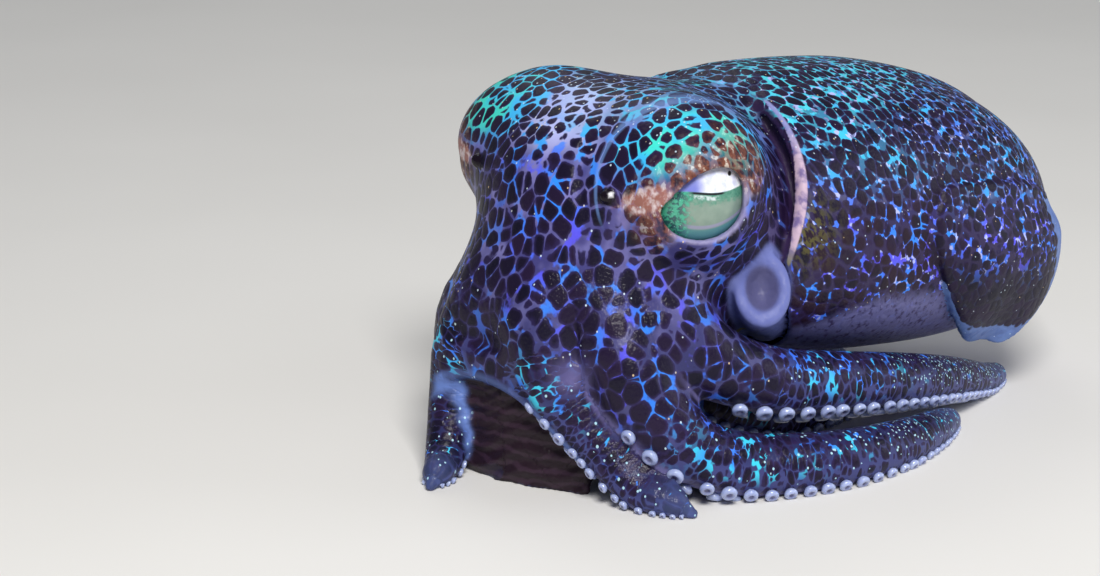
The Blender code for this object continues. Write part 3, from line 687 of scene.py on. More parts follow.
def funnel_field(points):
    """The funnel's outside, cut square at its mouth, and its bore."""
    ahead = unit(FUNNEL_LINE[-1] - FUNNEL_LINE[-2])
    outside = oval_chain(points, FUNNEL_LINE, FUNNEL_SIZES)
    outside = shared(outside, (points - FUNNEL_LINE[-1]) @ ahead, FUNNEL_LIP_ROUND)
    line = FUNNEL_LINE[-1] + np.outer(FUNNEL_BORE_ENDS, ahead)
    bore = oval_chain(points, line, np.array(FUNNEL_BORE_RADII))
    return outside, bore


def fin_place(points, side):
    """A fin's own coordinates: share along its root, share out from it, and height over its middle sheet."""
    local, lengths = mantle_place(points)
    left = np.maximum(1 - np.abs(local[:, 0] / lengths) ** MANTLE_POWER, 1e-3) ** (1 / MANTLE_POWER)
    across = np.maximum(side * local[:, 1], 1e-3)
    up = local[:, 2]
    stand = np.zeros(len(points))
    for _ in range(FIN_STAND_ROUNDS):
        a = across / np.maximum(MANTLE_HALF_WIDTH * left + stand, 0.5)
        b = np.abs(up) / np.maximum(MANTLE_HALF_HEIGHT * left + stand, 0.5)
        size = (a**MANTLE_POWER + b**MANTLE_POWER) ** (1 / MANTLE_POWER)
        stand = stand + (size - 1) * MANTLE_HALF_HEIGHT * left
        stand = np.maximum(stand, FIN_DEEPEST)
    angle = np.arctan2(a, b * np.sign(up))
    t = (angle - FIN_ROOT_ANGLE) / FIN_SWEEP
    for _ in range(FIN_EDGE_ROUNDS):
        bulge = (np.clip(t, 0, 1) - FIN_WIDEST) / (FIN_OUTLINE - FIN_WIDEST)
        spread = np.sqrt(1 - bulge**2)
        s = (points[:, 0] - FIN_MIDDLE_X) / (FIN_LENGTH * spread) + 0.5
        edge = np.clip(np.abs(2 * s - 1), 0, 1)
        t = (angle - FIN_ROOT_ANGLE) / (FIN_SWEEP * (1 - FIN_CORNER * edge**FIN_CORNER_POWER))
    out = np.clip(t, 0, 1)
    wave = FIN_WAVE * np.sin(FIN_WAVES * 2 * math.pi * np.clip(s, 0, 1))
    free = ease(s, FIN_HUG[0], FIN_HUG[1])
    lifted = (FIN_ROOT_GAP + FIN_THICKNESS / 2) * ease(out, 0.0, 0.4)
    middle = (lifted + FIN_STAND_OFF * out**FIN_STAND_POWER) * free + wave * out
    return s, t, stand - middle


def with_fins(field, points):
    for side in SIDES.values():
        near = (points[:, 0] > FIN_BOX_X[0]) & (points[:, 0] < FIN_BOX_X[1])
        near &= (side * points[:, 1] > FIN_BOX_Y) & (points[:, 2] < FIN_BOX_Z)
        if not near.any():
            continue
        s, t, height = fin_place(points[near], side)
        thick = FIN_THICKNESS + (FIN_EDGE_THICKNESS - FIN_THICKNESS) * ease(t, 0.2, 1)
        sheet = np.abs(height) - thick / 2
        ends = (np.abs(s - 0.5) - 0.5) * FIN_LENGTH
        margin = np.maximum(t - 1, -t - FIN_ROOT_DEPTH) * FIN_REACH
        blade = shared(sheet, shared(ends, margin, 0.8), 0.35)
        rooted = np.maximum(fade(t, 0.02, 0.25), fade(s, 0.1, 0.4))
        blend = FIN_FREE_BLEND + (FIN_ROOT_BLEND - FIN_FREE_BLEND) * rooted
        field = field.copy()
        field[near] = joined(field[near], blade, blend)
    return field


def skin_field(points):
    """The whole outside of the animal apart from its eyes and suckers."""
    outside, bore = funnel_field(points)
    field = with_arms(core_field(points), points)
    field = carved(field, bore, EDGE_ROUND)
    seam = MANTLE_RIM_ROUND + (NAPE_BLEND - MANTLE_RIM_ROUND) * nape(points)
    field = joined(field, mantle_field(points, outside), seam)
    field = joined(field, outside, FUNNEL_BLEND)
    field = carved(field, bore, FUNNEL_BORE_ROUND)
    field = joined(field, curtain_field(points), CURTAIN_BLEND)
    for side in SIDES.values():
        across, up, out = eye_place(points, side)
        way_out = shared((opening_ring(across, up) - 1) * min(EYE_OPENING), -out, EDGE_ROUND)
        field = carved(field, way_out, LID_ROUND)
        field = carved(field, ball(points, eye_centre(side), EYE_RADIUS + EYE_CLEARANCE), SOCKET_ROUND)
        field = joined(field, ball(points, PAPILLA_PLACES[side], PAPILLA_RADIUS), PAPILLA_BLEND)
    lips = blob(points, LIPS_CENTRE, LIPS_RADII)
    mouth = blob(points, LIPS_CENTRE - (0, 0, LIPS_RADII[2]), MOUTH_RADII)
    field = carved(joined(field, lips, LIPS_BLEND), mouth, EDGE_ROUND)
    field = with_fins(field, points) - CREASE_RISE * eye_crease(points)
    field = field + CREASE_GROOVE * eye_crease(points, CREASE_GROOVE_OUT, CREASE_GROOVE_WIDE)
    return np.maximum(field, -points[:, 2])


def eye_crease(points, outside=0.0, wide=1.0):
    """1 along the fine fold that rings the near eye bulge in front and on top, 0 away from it."""
    across, up, out = eye_place(points, SIDES["left"])
    ring = np.hypot(across, up * CREASE_OVAL) - CREASE_RADIUS - outside
    part = ease(across, -5.0, -2.0) * ease(up, -2.5, 0.0) * ease(out, *CREASE_END)
    return np.exp(-((ring / (CREASE_WIDTH * wide)) ** 2)) * part


def hood_edge(share):
    """Height of the arch's edge along the web between the two front arms."""
    return HOOD_EDGE - HOOD_DROP * (share - HOOD_PEAK_SHARE) ** 2


def curtain_share(points):
    start = np.array(CURTAIN_ENDS[0])
    run = np.array(CURTAIN_ENDS[1]) - start
    return (points[:, :2] - start) @ run / (run @ run)


def curtain_field(points):
    """The thin rippled web behind the arch between the two front arms."""
    start = np.array(CURTAIN_ENDS[0])
    run = np.array(CURTAIN_ENDS[1]) - start
    length = np.linalg.norm(run)
    local = points[:, :2] - start
    along = local @ run / length
    across = local @ (run[1], -run[0]) / length
    sag = CURTAIN_SAG * np.sin(np.clip(along / length, 0, 1) * math.pi)
    ripple = CURTAIN_RIPPLE * np.sin(points[:, 2] * CURTAIN_RIPPLES + along + 2 * np.sin(along * 0.9))
    sheet = np.abs(across + sag + ripple) - CURTAIN_THICKNESS / 2
    ends = np.abs(along - length / 2) - length / 2
    curtain = shared(sheet, np.maximum(ends, points[:, 2] - CURTAIN_TOP), CURTAIN_ROUND)
    edge = hood_edge(along / length)
    upright = np.maximum(edge - points[:, 2], points[:, 2] - CURTAIN_TOP)
    hood = np.abs(across + sag + HOOD_FORWARD) - HOOD_THICKNESS / 2
    return joined(curtain, shared(hood, np.maximum(ends, upright), HOOD_ROUND), HOOD_BLEND)


def on_core(towards, start):
    """The place where a ray from start through a point leaves the head."""
    direction = unit(np.array(towards) - start)
    distance = np.array([RAY_START])
    for _ in range(RAY_ROUNDS):
        distance = distance - RAY_SHARE * core_field(start + direction * distance[:, None])
    return start + direction * distance[0]


PAPILLA_PLACES = {side: on_core(PAPILLA * (1, side, 1), HEAD_INSIDE) for side in SIDES.values()}


# Skin mesh


def grid_values(field, low, high, step):
    """The field on a grid, worked out finely only in the blocks that the surface may cross."""
    size = step * SKIN_BLOCK
    blocks = np.ceil((high - low) / size).astype(int)
    centres = low + (np.indices(blocks).reshape(3, -1).T + 0.5) * size
    coarse = in_chunks(field, centres).reshape(blocks)
    values = coarse
    for axis in range(3):
        values = np.repeat(values, SKIN_BLOCK, axis=axis)
    values = np.pad(values, ((0, 1),) * 3, mode="edge")
    mask = np.zeros(values.shape, bool)
    for i, j, k in np.argwhere(np.abs(coarse) < SKIN_REACH * size) * SKIN_BLOCK:
        mask[i : i + SKIN_BLOCK + 1, j : j + SKIN_BLOCK + 1, k : k + SKIN_BLOCK + 1] = True
    values[mask] = in_chunks(field, low + np.argwhere(mask) * step)
    return values


def in_chunks(field, points):
    """The field at many points, a batch at a time on several threads."""
    batches = [points[i : i + SKIN_CHUNK] for i in range(0, len(points), SKIN_CHUNK)]
    with ThreadPoolExecutor() as pool:
        return np.concatenate(list(pool.map(field, batches)))


def surface_net(values, low, step):
    """Vertices and outward quads of the zero level of a grid of values."""
    inside = values < 0
    corners = np.array([(i, j, k) for i in (0, 1) for j in (0, 1) for k in (0, 1)])
    shape = np.array(values.shape) - 1
    count = sum(inside[i : i + shape[0], j : j + shape[1], k : k + shape[2]].astype(np.int8)
                for i, j, k in corners)
    active = (count > 0) & (count < 8)
    cells = np.argwhere(active)
    index = np.full(shape, -1)
    index[active] = np.arange(len(cells))
    total, hits = np.zeros((len(cells), 3)), np.zeros(len(cells))
    for a in corners:
        for b in corners:
            if (b - a).sum() != 1 or (b - a).min() < 0:
                continue
            va = values[tuple((cells + a).T)]
            vb = values[tuple((cells + b).T)]
            cross = (va < 0) != (vb < 0)
            t = np.where(cross, va / np.where(cross, va - vb, 1), 0)
            total += cross[:, None] * (a + t[:, None] * (b - a))
            hits += cross
    vertices = low + (cells + total / hits[:, None]) * step
    quads = []
    for axis in range(3):
        second, third = (axis + 1) % 3, (axis + 2) % 3
        lower = np.moveaxis(inside, (axis, second, third), (0, 1, 2))
        table = np.moveaxis(index, (axis, second, third), (0, 1, 2))
        cross = lower[:-1, 1:-1, 1:-1] != lower[1:, 1:-1, 1:-1]
        i, j, k = np.nonzero(cross)
        around = [table[i, j + 1, k + 1], table[i, j, k + 1], table[i, j, k], table[i, j + 1, k]]
        faces = np.column_stack(around)
        outward = lower[i, j + 1, k + 1]
        quads.append(np.where(outward[:, None], faces, faces[:, ::-1]))
    return vertices, np.vstack(quads)


def slopes(field, points):
    """Gradient of the field from four probes round each point."""
    probes = PROBE * np.array(((1, -1, -1), (-1, -1, 1), (-1, 1, -1), (1, 1, 1)))
    return sum(in_chunks(field, points + probe)[:, None] * probe for probe in probes) / (4 * PROBE**2)


def settled(field, points, step):
    """Moves points onto the zero level along the gradient."""
    slope = slopes(field, points)
    move = in_chunks(field, points)[:, None] * slope / np.maximum((slope**2).sum(axis=1), 0.2)[:, None]
    length = np.linalg.norm(move, axis=1)[:, None]
    return points - move * np.minimum(1, step / np.maximum(length, 1e-9)), unit(slope + 1e-12)


def evened(points, quads, normals):
    """Slides each vertex along the surface towards the middle of its neighbours."""
    total, hits = np.zeros_like(points), np.zeros(len(points))
    for a in range(4):
        for b in ((a + 1) % 4, (a + 3) % 4):
            for axis in range(3):
                total[:, axis] += np.bincount(quads[:, a], points[quads[:, b], axis], len(points))
            hits += np.bincount(quads[:, a], minlength=len(points))
    move = total / hits[:, None] - points
    move -= (move * normals).sum(axis=1)[:, None] * normals
    return points + 0.5 * move


def biggest_shell(points, quads):
    """Leaves only the surface that is joined to most of the vertices."""
    label = np.arange(len(points))
    while True:
        least = label[quads].min(axis=1)
        new = label.copy()
        for k in range(4):
            np.minimum.at(new, quads[:, k], least)
        new = new[new]
        if (new == label).all():
            break
        label = new
    counts = np.bincount(label)
    kept = label == counts.argmax()
    order = np.cumsum(kept) - 1
    return points[kept], order[quads[kept[quads[:, 0]]]]


SHIFT = np.array(sum(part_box("eye_left"), Vector())) / 2 / MM - eye_centre(SIDES["left"])


def to_row(points):
    """Points of the animal's own frame in millimetres, in the row frame in metres."""
    return (points + SHIFT) * MM


def mesh_object(name, points, faces):
    """A shaded object from points in millimetres and faces of equally many corners."""
    faces = np.asarray(faces)
    mesh = bpy.data.meshes.new(name)
    mesh.vertices.add(len(points))
    mesh.vertices.foreach_set("co", to_row(points).astype(np.float32).ravel())
    mesh.loops.add(faces.size)
    mesh.loops.foreach_set("vertex_index", faces.astype(np.int32).ravel())
    mesh.polygons.add(len(faces))
    mesh.polygons.foreach_set("loop_start", np.arange(0, faces.size, faces.shape[1], dtype=np.int32))
    mesh.update(calc_edges=True)
    mesh.shade_smooth()
    made = bpy.data.objects.new(name, mesh)
    bpy.context.scene.collection.objects.link(made)
    return made


def paint(piece, **values):
    """Stores numbers or vectors at the vertices for the material to read."""
    for name, value in values.items():
        value = np.asarray(value, np.float32)
        kind, key = ("FLOAT", "value") if value.ndim == 1 else ("FLOAT_VECTOR", "vector")
        piece.data.attributes.new(name, kind, "POINT").data.foreach_set(key, value.ravel())


def make_skin():
    """Points and quads of the skin, laid on its surface and evened out."""
    low, high = np.array(SKIN_BOX)
    values = grid_values(skin_field, low, high, SKIN_STEP)
    points, quads = biggest_shell(*surface_net(values, low, SKIN_STEP))
    for _ in range(SKIN_PASSES):
        points, normals = settled(skin_field, points, SKIN_STEP / 2)
        points = evened(points, quads, normals)
    points, _ = settled(skin_field, points, SKIN_STEP / 2)
    points[:, 2] = np.maximum(points[:, 2], 0)
    return points, quads


# Zones of the skin: a weight from 0 to 1 at each vertex for each kind of marking


def swell(value, middle, spread):
    """1 at the middle, falling off like a bell over the spread."""
    return np.exp(-(((value - middle) / spread) ** 2))


def arm_zones(points):
    """Places along and round the nearest arm, the markings on it, and the distance to it."""
    nearest, second = np.full((2, len(points)), FAR * 2)
    along, angle, size, share, number = np.zeros((5, len(points)))
    for index, arm in enumerate(ARMS.values()):
        distance, place, turn, radius = arm_distance(points, arm)
        closer = distance < nearest
        second = np.minimum(second, np.maximum(distance, nearest))
        nearest = np.where(closer, distance, nearest)
        found = (place, along), (turn, angle), (radius, size), (place / arm.along[-1], share), (index, number)
        along, angle, size, share, number = (np.where(closer, new, old) for new, old in found)
    arm = ease(np.minimum(core_field(points), mantle_blob(points)) - nearest, *ARM_ZONE)
    seam = fade(second - nearest, *SEAM_GAP) * ease(arm, *SEAM_ON_ARM)
    seam *= ease(share, *SEAM_START) * fade(share, *SEAM_END)
    for side in SIDES.values():
        patch = ball(points, WEB_PATCH * (1, -side, 1), 0)
        seam = np.maximum(seam, swell(patch, 0, WEB_PATCH_RADIUS))
    up = np.cos(angle)
    arm_glints = np.array([GLINT_SHARE[name[-1]] for name in ARMS])[number.astype(int)]
    return nearest, dict(
        arm=arm, arm_share=share, seam=seam,
        arm_top=arm * ease(up, *ARM_TOP_SIDE) * (1 - seam),
        arm_bars=arm * ease(up, *BAR_SIDE) * ease(share, *BAR_START) * fade(share, *BAR_END),
        # Where the arms carry more painted glints of highlight.
        glints=arm * ease(up, *GLINT_SIDE) * (1 - seam) * ease(share, *GLINT_START) * arm_glints,
        inner=arm * ease(-up, *INNER_SIDE),
        arm_pattern=np.column_stack([along, angle * size, number]) * ARM_PATTERN_SCALE)


def mantle_zones(points, arm):
    """The sac with its free rim, the belly, the neck, the painted shade in the groove behind the rim, and the
    patches on them.
    """
    x, y, z = points.T
    local, _ = mantle_place(points)
    depth, grown, outside = rim_depth(points), nape(points), mantle_blob(points)
    reach_out, reach_along = (reach * grown for reach in MANTLE_NAPE_REACH)
    mantle = fade(np.abs(outside) - reach_out, *MANTLE_SURFACE)
    mantle *= ease(depth, MANTLE_START[0] - reach_along, MANTLE_START[1] + reach_along)
    neck = ease(depth, *NECK_START) * fade(depth, *NECK_END) * fade(z, *NECK_TOP_Z) * (1 - arm)
    round_angle = np.degrees(np.arctan2(np.abs(local[:, 1]), local[:, 2]))
    belly_edge = BELLY_ANGLE + BELLY_FRONT_ANGLE * fade(x, *BELLY_FRONT_X)
    olive = ball(np.column_stack([x, -np.abs(y), z]), OLIVE_PATCH, 0)
    widest = swell(z, RIM_WIDEST_Z, RIM_SPREAD)
    rim_width, rim_thickness = (least + more * widest for least, more in (RIM_WIDTHS, RIM_THICKNESSES))
    rim = np.clip(1 - (np.abs(depth - RIM_DEPTH) - rim_width) / RIM_SOFT, 0, 1)
    rim *= fade(np.abs(outside), rim_thickness, rim_thickness + RIM_SOFT) * (1 - grown)
    # Painted shade: the groove behind the rim and the inner face of the mantle's wall are darkened.
    rim_face = ease(depth, *RIM_FACE_START) * ease(-outside, *RIM_FACE_UNDER) * fade(-outside, *RIM_FACE_END)
    groove = ease(depth, *GROOVE_SHADE_START) * ease(-outside, *GROOVE_SHADE_UNDER)
    groove = np.maximum(groove, rim_face * (1 - grown))
    return dict(
        mantle=mantle, neck=neck, rim=rim, groove=groove,
        belly=mantle * ease(round_angle - belly_edge, *BELLY_EDGE) * (1 - arm),
        olive=mantle * swell(olive, 0, OLIVE_RADIUS),
        saddle=ease(z, *SADDLE_Z) * fade(x, *SADDLE_X) * swell(y, 0, SADDLE_SPREAD) * (1 - mantle),
        ruddy=mantle * fade(x, *RUDDY_X) * fade(z, *RUDDY_Z),
        crest=mantle * ease(z, *CREST_Z) * fade(x, *CREST_X))


def fin_zones(points, mantle):
    """The fins, which carry on the mantle's pattern, and their clear margin."""
    fin, margin = np.zeros((2, len(points)))
    for side in SIDES.values():
        s, t, height = fin_place(points, side)
        on_fin = (np.abs(height) < FIN_ZONE_HEIGHT) & (np.abs(s - 0.5) < FIN_ZONE_ALONG)
        on_fin &= (t > FIN_ZONE_OUT[0]) & (t < FIN_ZONE_OUT[1])
        on_fin &= (side * points[:, 1] > FIN_BOX_Y) & (points[:, 0] > FIN_ZONE_X)
        edge = np.minimum((1 - t) * FIN_REACH, (1 - s) * FIN_LENGTH)
        mantle = np.where(on_fin, 1, mantle)
        fin = np.where(on_fin, ease(t, *FIN_ZONE), fin)
        margin = np.where(on_fin, fade(edge, *MARGIN_EDGE), margin)
    return dict(mantle=mantle, fin=fin, margin=margin)


def eye_zones(points):
    """Lids, teal domes, the pink blush, and the dark bead beside each eye with its painted highlight."""
    lid, lid_up, dome, bead, bead_highlight = np.zeros((5, len(points)))
    eye_pattern = np.zeros((len(points), 3))
    blush = np.full(len(points), FAR_FROM_BLUSH)
    for side in SIDES.values():
        across, up, out = eye_place(points, side)
        own, near = side * points[:, 1] > 0, side == SIDES["left"]
        ring = opening_ring(across, up)
        above = np.minimum(ease(up, *UPPER_LID_UP) + UPPER_LID_SHARE * ease(across, *UPPER_LID_ACROSS), 1)
        lid = np.maximum(lid, fade(ring, LID_EDGE[0], LID_EDGE[1] + above) * (out > 0))
        rise = np.maximum(up / EYE_OPENING[1], (across - LID_REAR[0]) / LID_REAR[1])
        lid_up = np.where((out > 0) & (ring < LID_RING), rise, lid_up)
        wide = CREASE_RADIUS if near else FAR_DOME_RADIUS
        on_dome = fade(np.hypot(across, up * CREASE_OVAL), wide - DOME_EDGE, wide)
        dome = np.maximum(dome, on_dome * ease(up, *DOME_UP) * ease(out, *DOME_OUT))
        ahead, over = across - BLUSH_PLACE[0], up - BLUSH_PLACE[1]
        lengthwise = (ahead * BLUSH_LEAN[0] - over * BLUSH_LEAN[1]) / BLUSH_SIZE[0]
        crosswise = (ahead * BLUSH_LEAN[1] + over * BLUSH_LEAN[0]) / BLUSH_SIZE[1]
        from_blush = np.hypot(lengthwise, crosswise) * (1 if near else FAR_BLUSH)
        blush = np.where(own & (out > -1), from_blush, blush)
        ahead, over = (across - CORNER_PLACE[0]) / CORNER_SIZE[0], (up - CORNER_PLACE[1]) / CORNER_SIZE[1]
        corner = fade(np.hypot(ahead, over), *CORNER_EDGE)
        lid = np.where(own, np.maximum(lid, CORNER_SHARE * corner), lid)
        lid_up = np.where(own & (corner > 0), np.maximum(lid_up, corner * 2), lid_up)
        eye_pattern[own] = np.column_stack([across, up, out])[own]
        centre = PAPILLA_PLACES[side]
        # Place of the painted highlight on the bead.
        light = centre + PAPILLA_RADIUS * (np.array(PAPILLA_GLINT) @ eye_frame(side))
        bead = np.maximum(bead, fade(ball(points, centre, PAPILLA_RADIUS), *BEAD_EDGE))
        bead_highlight = np.maximum(bead_highlight, fade(ball(points, light, 0.0), *BEAD_HIGHLIGHT_EDGE))
    crease = (points[:, 1] < 0) * ease(points[:, 2], *CREASE_Z)
    return dict(lid=lid, lid_up=lid_up, dome=dome, bead=bead, bead_highlight=bead_highlight,
                eye_pattern=eye_pattern, blush=blush, crease=crease)


def web_zones(points, nearest):
    """The dark rippled web behind the arch, and the arch's pale edge."""
    web = np.abs(curtain_field(points))
    apart = ease(nearest, *WEB_APART)
    above_edge = points[:, 2] - hood_edge(curtain_share(points))
    curtain = fade(web, *CURTAIN_EDGE) * apart * fade(above_edge, *CURTAIN_BELOW_EDGE)
    low, high = (WEB_EDGE_THIN + WEB_EDGE_ON_LEG * (1 - apart)[:, None]).T
    web_edge = fade(web, low, high) * fade(above_edge, *WEB_EDGE_ABOVE) * (1 - curtain)
    return dict(curtain=curtain, web_edge=web_edge * (1 - apart * (1 - WEB_EDGE_SHARE)))


def zones(points):
    """All weights of the zones, and the coordinates in which the pattern is laid out."""
    nearest, on_arms = arm_zones(points)
    on_mantle = mantle_zones(points, on_arms["arm"])
    on_mantle.update(fin_zones(points, on_mantle["mantle"]))
    outside, bore = funnel_field(points)
    x, y, z = points.T
    flattened = LOW_CELLS + (1 - LOW_CELLS) * ease(x, *LOW_CELLS_X)
    smaller = 1 + REAR_CELLS * ease(x, *REAR_CELLS_X)
    return dict(on_arms, **on_mantle, **eye_zones(points), **web_zones(points, nearest),
                funnel=fade(outside, *FUNNEL_ZONE), bore=fade(bore, *BORE_ZONE),
                body_pattern=np.column_stack([x, y, z * flattened]) * smaller[:, None])


# Materials


class Value:
    """A number, colour or place in a material. Numbers can be added, subtracted and multiplied."""

    def __init__(self, shader, socket):
        self.shader, self.socket = shader, socket

    def __add__(self, other):
        return self.shader.math("ADD", self, other)

    def __sub__(self, other):
        return self.shader.math("SUBTRACT", self, other)

    def __rsub__(self, other):
        return self.shader.math("SUBTRACT", other, self)

    def __mul__(self, other):
        return self.shader.math("MULTIPLY", self, other)

    def __abs__(self):
        return self.shader.math("ABSOLUTE", self)

    __rmul__ = __mul__


class Shader:
    """A material's node tree with short calls for the nodes that it uses."""

    def __init__(self, name):
        self.material = bpy.data.materials.new(name)
        self.material.use_nodes = True
        self.nodes = self.material.node_tree.nodes
        self.links = self.material.node_tree.links
        self.known = {}

    def put(self, socket, value):
        if isinstance(value, Value):
            self.links.new(value.socket, socket)
        else:
            socket.default_value = value

    def add(self, kind, outputs, settings=None, **inputs):
        """The named outputs of a new node, whose inputs are given by name with _ for a blank."""
        node = self.nodes.new("ShaderNode" + kind)
        for key, value in (settings or {}).items():
            setattr(node, key, value)
        for key, value in inputs.items():
            self.put(node.inputs[key.replace("_", " ")], value)
        return [Value(self, node.outputs[name]) for name in outputs]

    def math(self, operation, *values, kind="Math", output=0):
        node = self.nodes.new("ShaderNode" + kind)
        node.operation = operation
        for socket, value in zip(node.inputs, values):
            self.put(socket, value)
        return Value(self, node.outputs[output])

    def most(self, first, *others):
        for other in others:
            first = self.math("MAXIMUM", first, other)
        return first

    def mottle(self, colours, place, scale, detail=2.0):
        """Two colours mixed by noise."""
        return self.mix(self.noise(place, scale, detail), *colours)

    def split(self, place):
        """The X, Y and Z of a place."""
        return self.add("SeparateXYZ", "XYZ", Vector=place)

    def length(self, x, y, middle=(0.0, 0.0, 0.0)):
        """Distance of the place x, y from the middle."""
        place, = self.add("CombineXYZ", ["Vector"], X=x, Y=y)
        return self.math("DISTANCE", place, middle, kind="VectorMath", output="Value")

    def ease(self, value, low, high, start=0.0, end=1.0):
        """Smooth change from start to end while the value goes from low to high."""
        limits = dict(Value=value, From_Min=low, From_Max=high, To_Min=start, To_Max=end)
        return self.add("MapRange", ["Result"], dict(interpolation_type="SMOOTHSTEP"), **limits)[0]

    def blend(self, share, a, b):
        """The number a, changing to b as share goes from 0 to 1."""
        return a + share * (b - a)

    def mix(self, share, a, b):
        """The colour a, changing to b as share goes from 0 to 1."""
        node = self.nodes.new("ShaderNodeMix")
        node.data_type = "RGBA"
        self.put(node.inputs["Factor"], share)
        for socket, colour in ((node.inputs[6], a), (node.inputs[7], b)):
            self.put(socket, (*colour, 1.0) if isinstance(colour, tuple) else colour)
        return Value(self, node.outputs[2])

    def read(self, name):
        """The values painted on the vertices under this name."""
        if name not in self.known:
            output = "Vector" if name.endswith(("pattern", "place")) else "Fac"
            self.known[name], = self.add("Attribute", [output], dict(attribute_name=name))
        return self.known[name]

    def noise(self, place, scale, detail=2.0, output="Fac"):
        return self.add("TexNoise", [output], Vector=place, Scale=scale, Detail=detail)[0]

    def patches(self, place, scale, low, high, detail=2.0, start=0.0, end=1.0):
        """Noise that is raised to end where it is above high, and to start where it is below low."""
        return self.ease(self.noise(place, scale, detail), low, high, start, end)

    def voronoi(self, place, scale, feature="F1", randomness=1.0):
        """Distance to the nearest or second nearest of scattered middles, and its own random colour."""
        return self.add("TexVoronoi", ["Distance", "Color"], dict(feature=feature),
                        Vector=place, Scale=scale, Randomness=randomness)

    def bump(self, strength, distance, height, **normal):
        """Directions of the surface after fine relief, on top of others if they are given."""
        return self.add("Bump", ["Normal"], Strength=strength, Distance=distance, Height=height, **normal)[0]

    def finish(self, **inputs):
        """The material, with the surface's own inputs set."""
        for key, value in inputs.items():
            self.put(self.nodes["Principled BSDF"].inputs[key.replace("_", " ")], value)
        return self.material


def cell_net(shader, place, scale):
    """Depth into rounded cells from the net between them, and each cell's own number."""
    warp = shader.noise(place, 0.55, 1.0, "Color")
    warp = shader.math("SUBTRACT", warp, (0.5, 0.5, 0.5), kind="VectorMath")
    warp = shader.math("MULTIPLY", warp, (CELL_WARP,) * 3, kind="VectorMath")
    place = shader.math("ADD", place, warp, kind="VectorMath")
    near, colour = shader.voronoi(place, scale, "F1", CELL_RANDOMNESS)
    far, _ = shader.voronoi(place, scale, "F2", CELL_RANDOMNESS)
    depth = shader.math("SMOOTH_MIN", far - near, near * -1.5 + 1.08, CELL_ROUND)
    ragged = shader.noise(place, 2.6) * 0.08 - 0.02
    return depth + ragged, shader.math("FRACT", colour * CELL_NUMBER_STEP)


def net_colours(skin, body, on_arm, height):
    """The net's dull and bright colours, and how bright it is from place to place, with painted light from
    above: brighter and tealer on top, darker low down.
    """
    mantle, fin, dome, neck, arm_top = map(skin.read, ("mantle", "fin", "dome", "neck", "arm_top"))
    arms, (x, _, _) = skin.read("arm_pattern"), skin.split(body)
    # Partly painted light: the iridescent net is brighter and tealer on top, on the mantle's front top and
    # the eye domes, where it faces the light from above, and darker low down; partly the skin's own tones.
    top, low = skin.ease(height, *NET_TOP_Z), skin.ease(height, *NET_LOW_Z)
    dull = skin.mix(skin.patches(body, 0.45, 0.38, 0.66), *LAVENDER)
    dull = skin.mix(low * 0.8, dull, LOW_LAVENDER)
    dull = skin.mix(skin.read("saddle") * 0.85, dull, SADDLE)
    dull = skin.mix(neck * 0.75, dull, NECK)
    dull = skin.mix(mantle, dull, MANTLE_NET)
    dull = skin.mix(on_arm, dull, skin.mix(arm_top, *ARM_NET))
    dull = skin.mix(fin, dull, FIN_NET)

    hue = skin.noise(body, 0.35, 1.0)
    blue = skin.mix(skin.ease(hue, 0.35, 0.65), *BLUE)
    teal = skin.mix(skin.ease(hue, 0.38, 0.66), *TEAL)
    bright = skin.mix(skin.most(top * (mantle * -0.5 + 0.8), dome), blue, teal)
    front = mantle * top * skin.ease(x, 22.0, 2.0)
    bright = skin.mix(front * 0.7, bright, FRONT_TEAL)
    crest = skin.read("crest") * skin.patches(body, 0.9, 0.4, 0.52)
    bright = skin.mix(crest * 0.8, bright, skin.mix(hue, *CREST))
    bright = skin.mix(skin.patches(body, 1.7, 0.56, 0.66, 1.0) * mantle, bright, PALE_STROKE)
    bright = skin.mix(on_arm * 0.85, bright, skin.mix(skin.ease(hue, 0.4, 0.62), *ARM_BLUE))

    lit = skin.patches(body, 0.7, 0.48, 0.57, 3.0) * skin.patches(body, 0.12, 0.3, 0.62, 1.0, 0.3)
    lit = skin.blend(mantle, lit * (low * -0.25 + 1.0), skin.patches(body, 0.95, 0.505, 0.55))
    flecks = skin.patches(arms, 1.2, 0.62, 0.66, 1.0) * arm_top
    bars = skin.patches(arms, 0.7, 0.53, 0.56, 1.0) * skin.read("arm_bars")
    lit = skin.blend(on_arm, lit, skin.most(flecks, bars))
    lit = skin.most(lit, top * (mantle * -0.2 + 0.4), front * 0.5, crest * 0.9, dome * 0.95)
    return dull, bright, lit * (neck * -0.7 + 1.0) * (fin * -0.97 + 1.0)


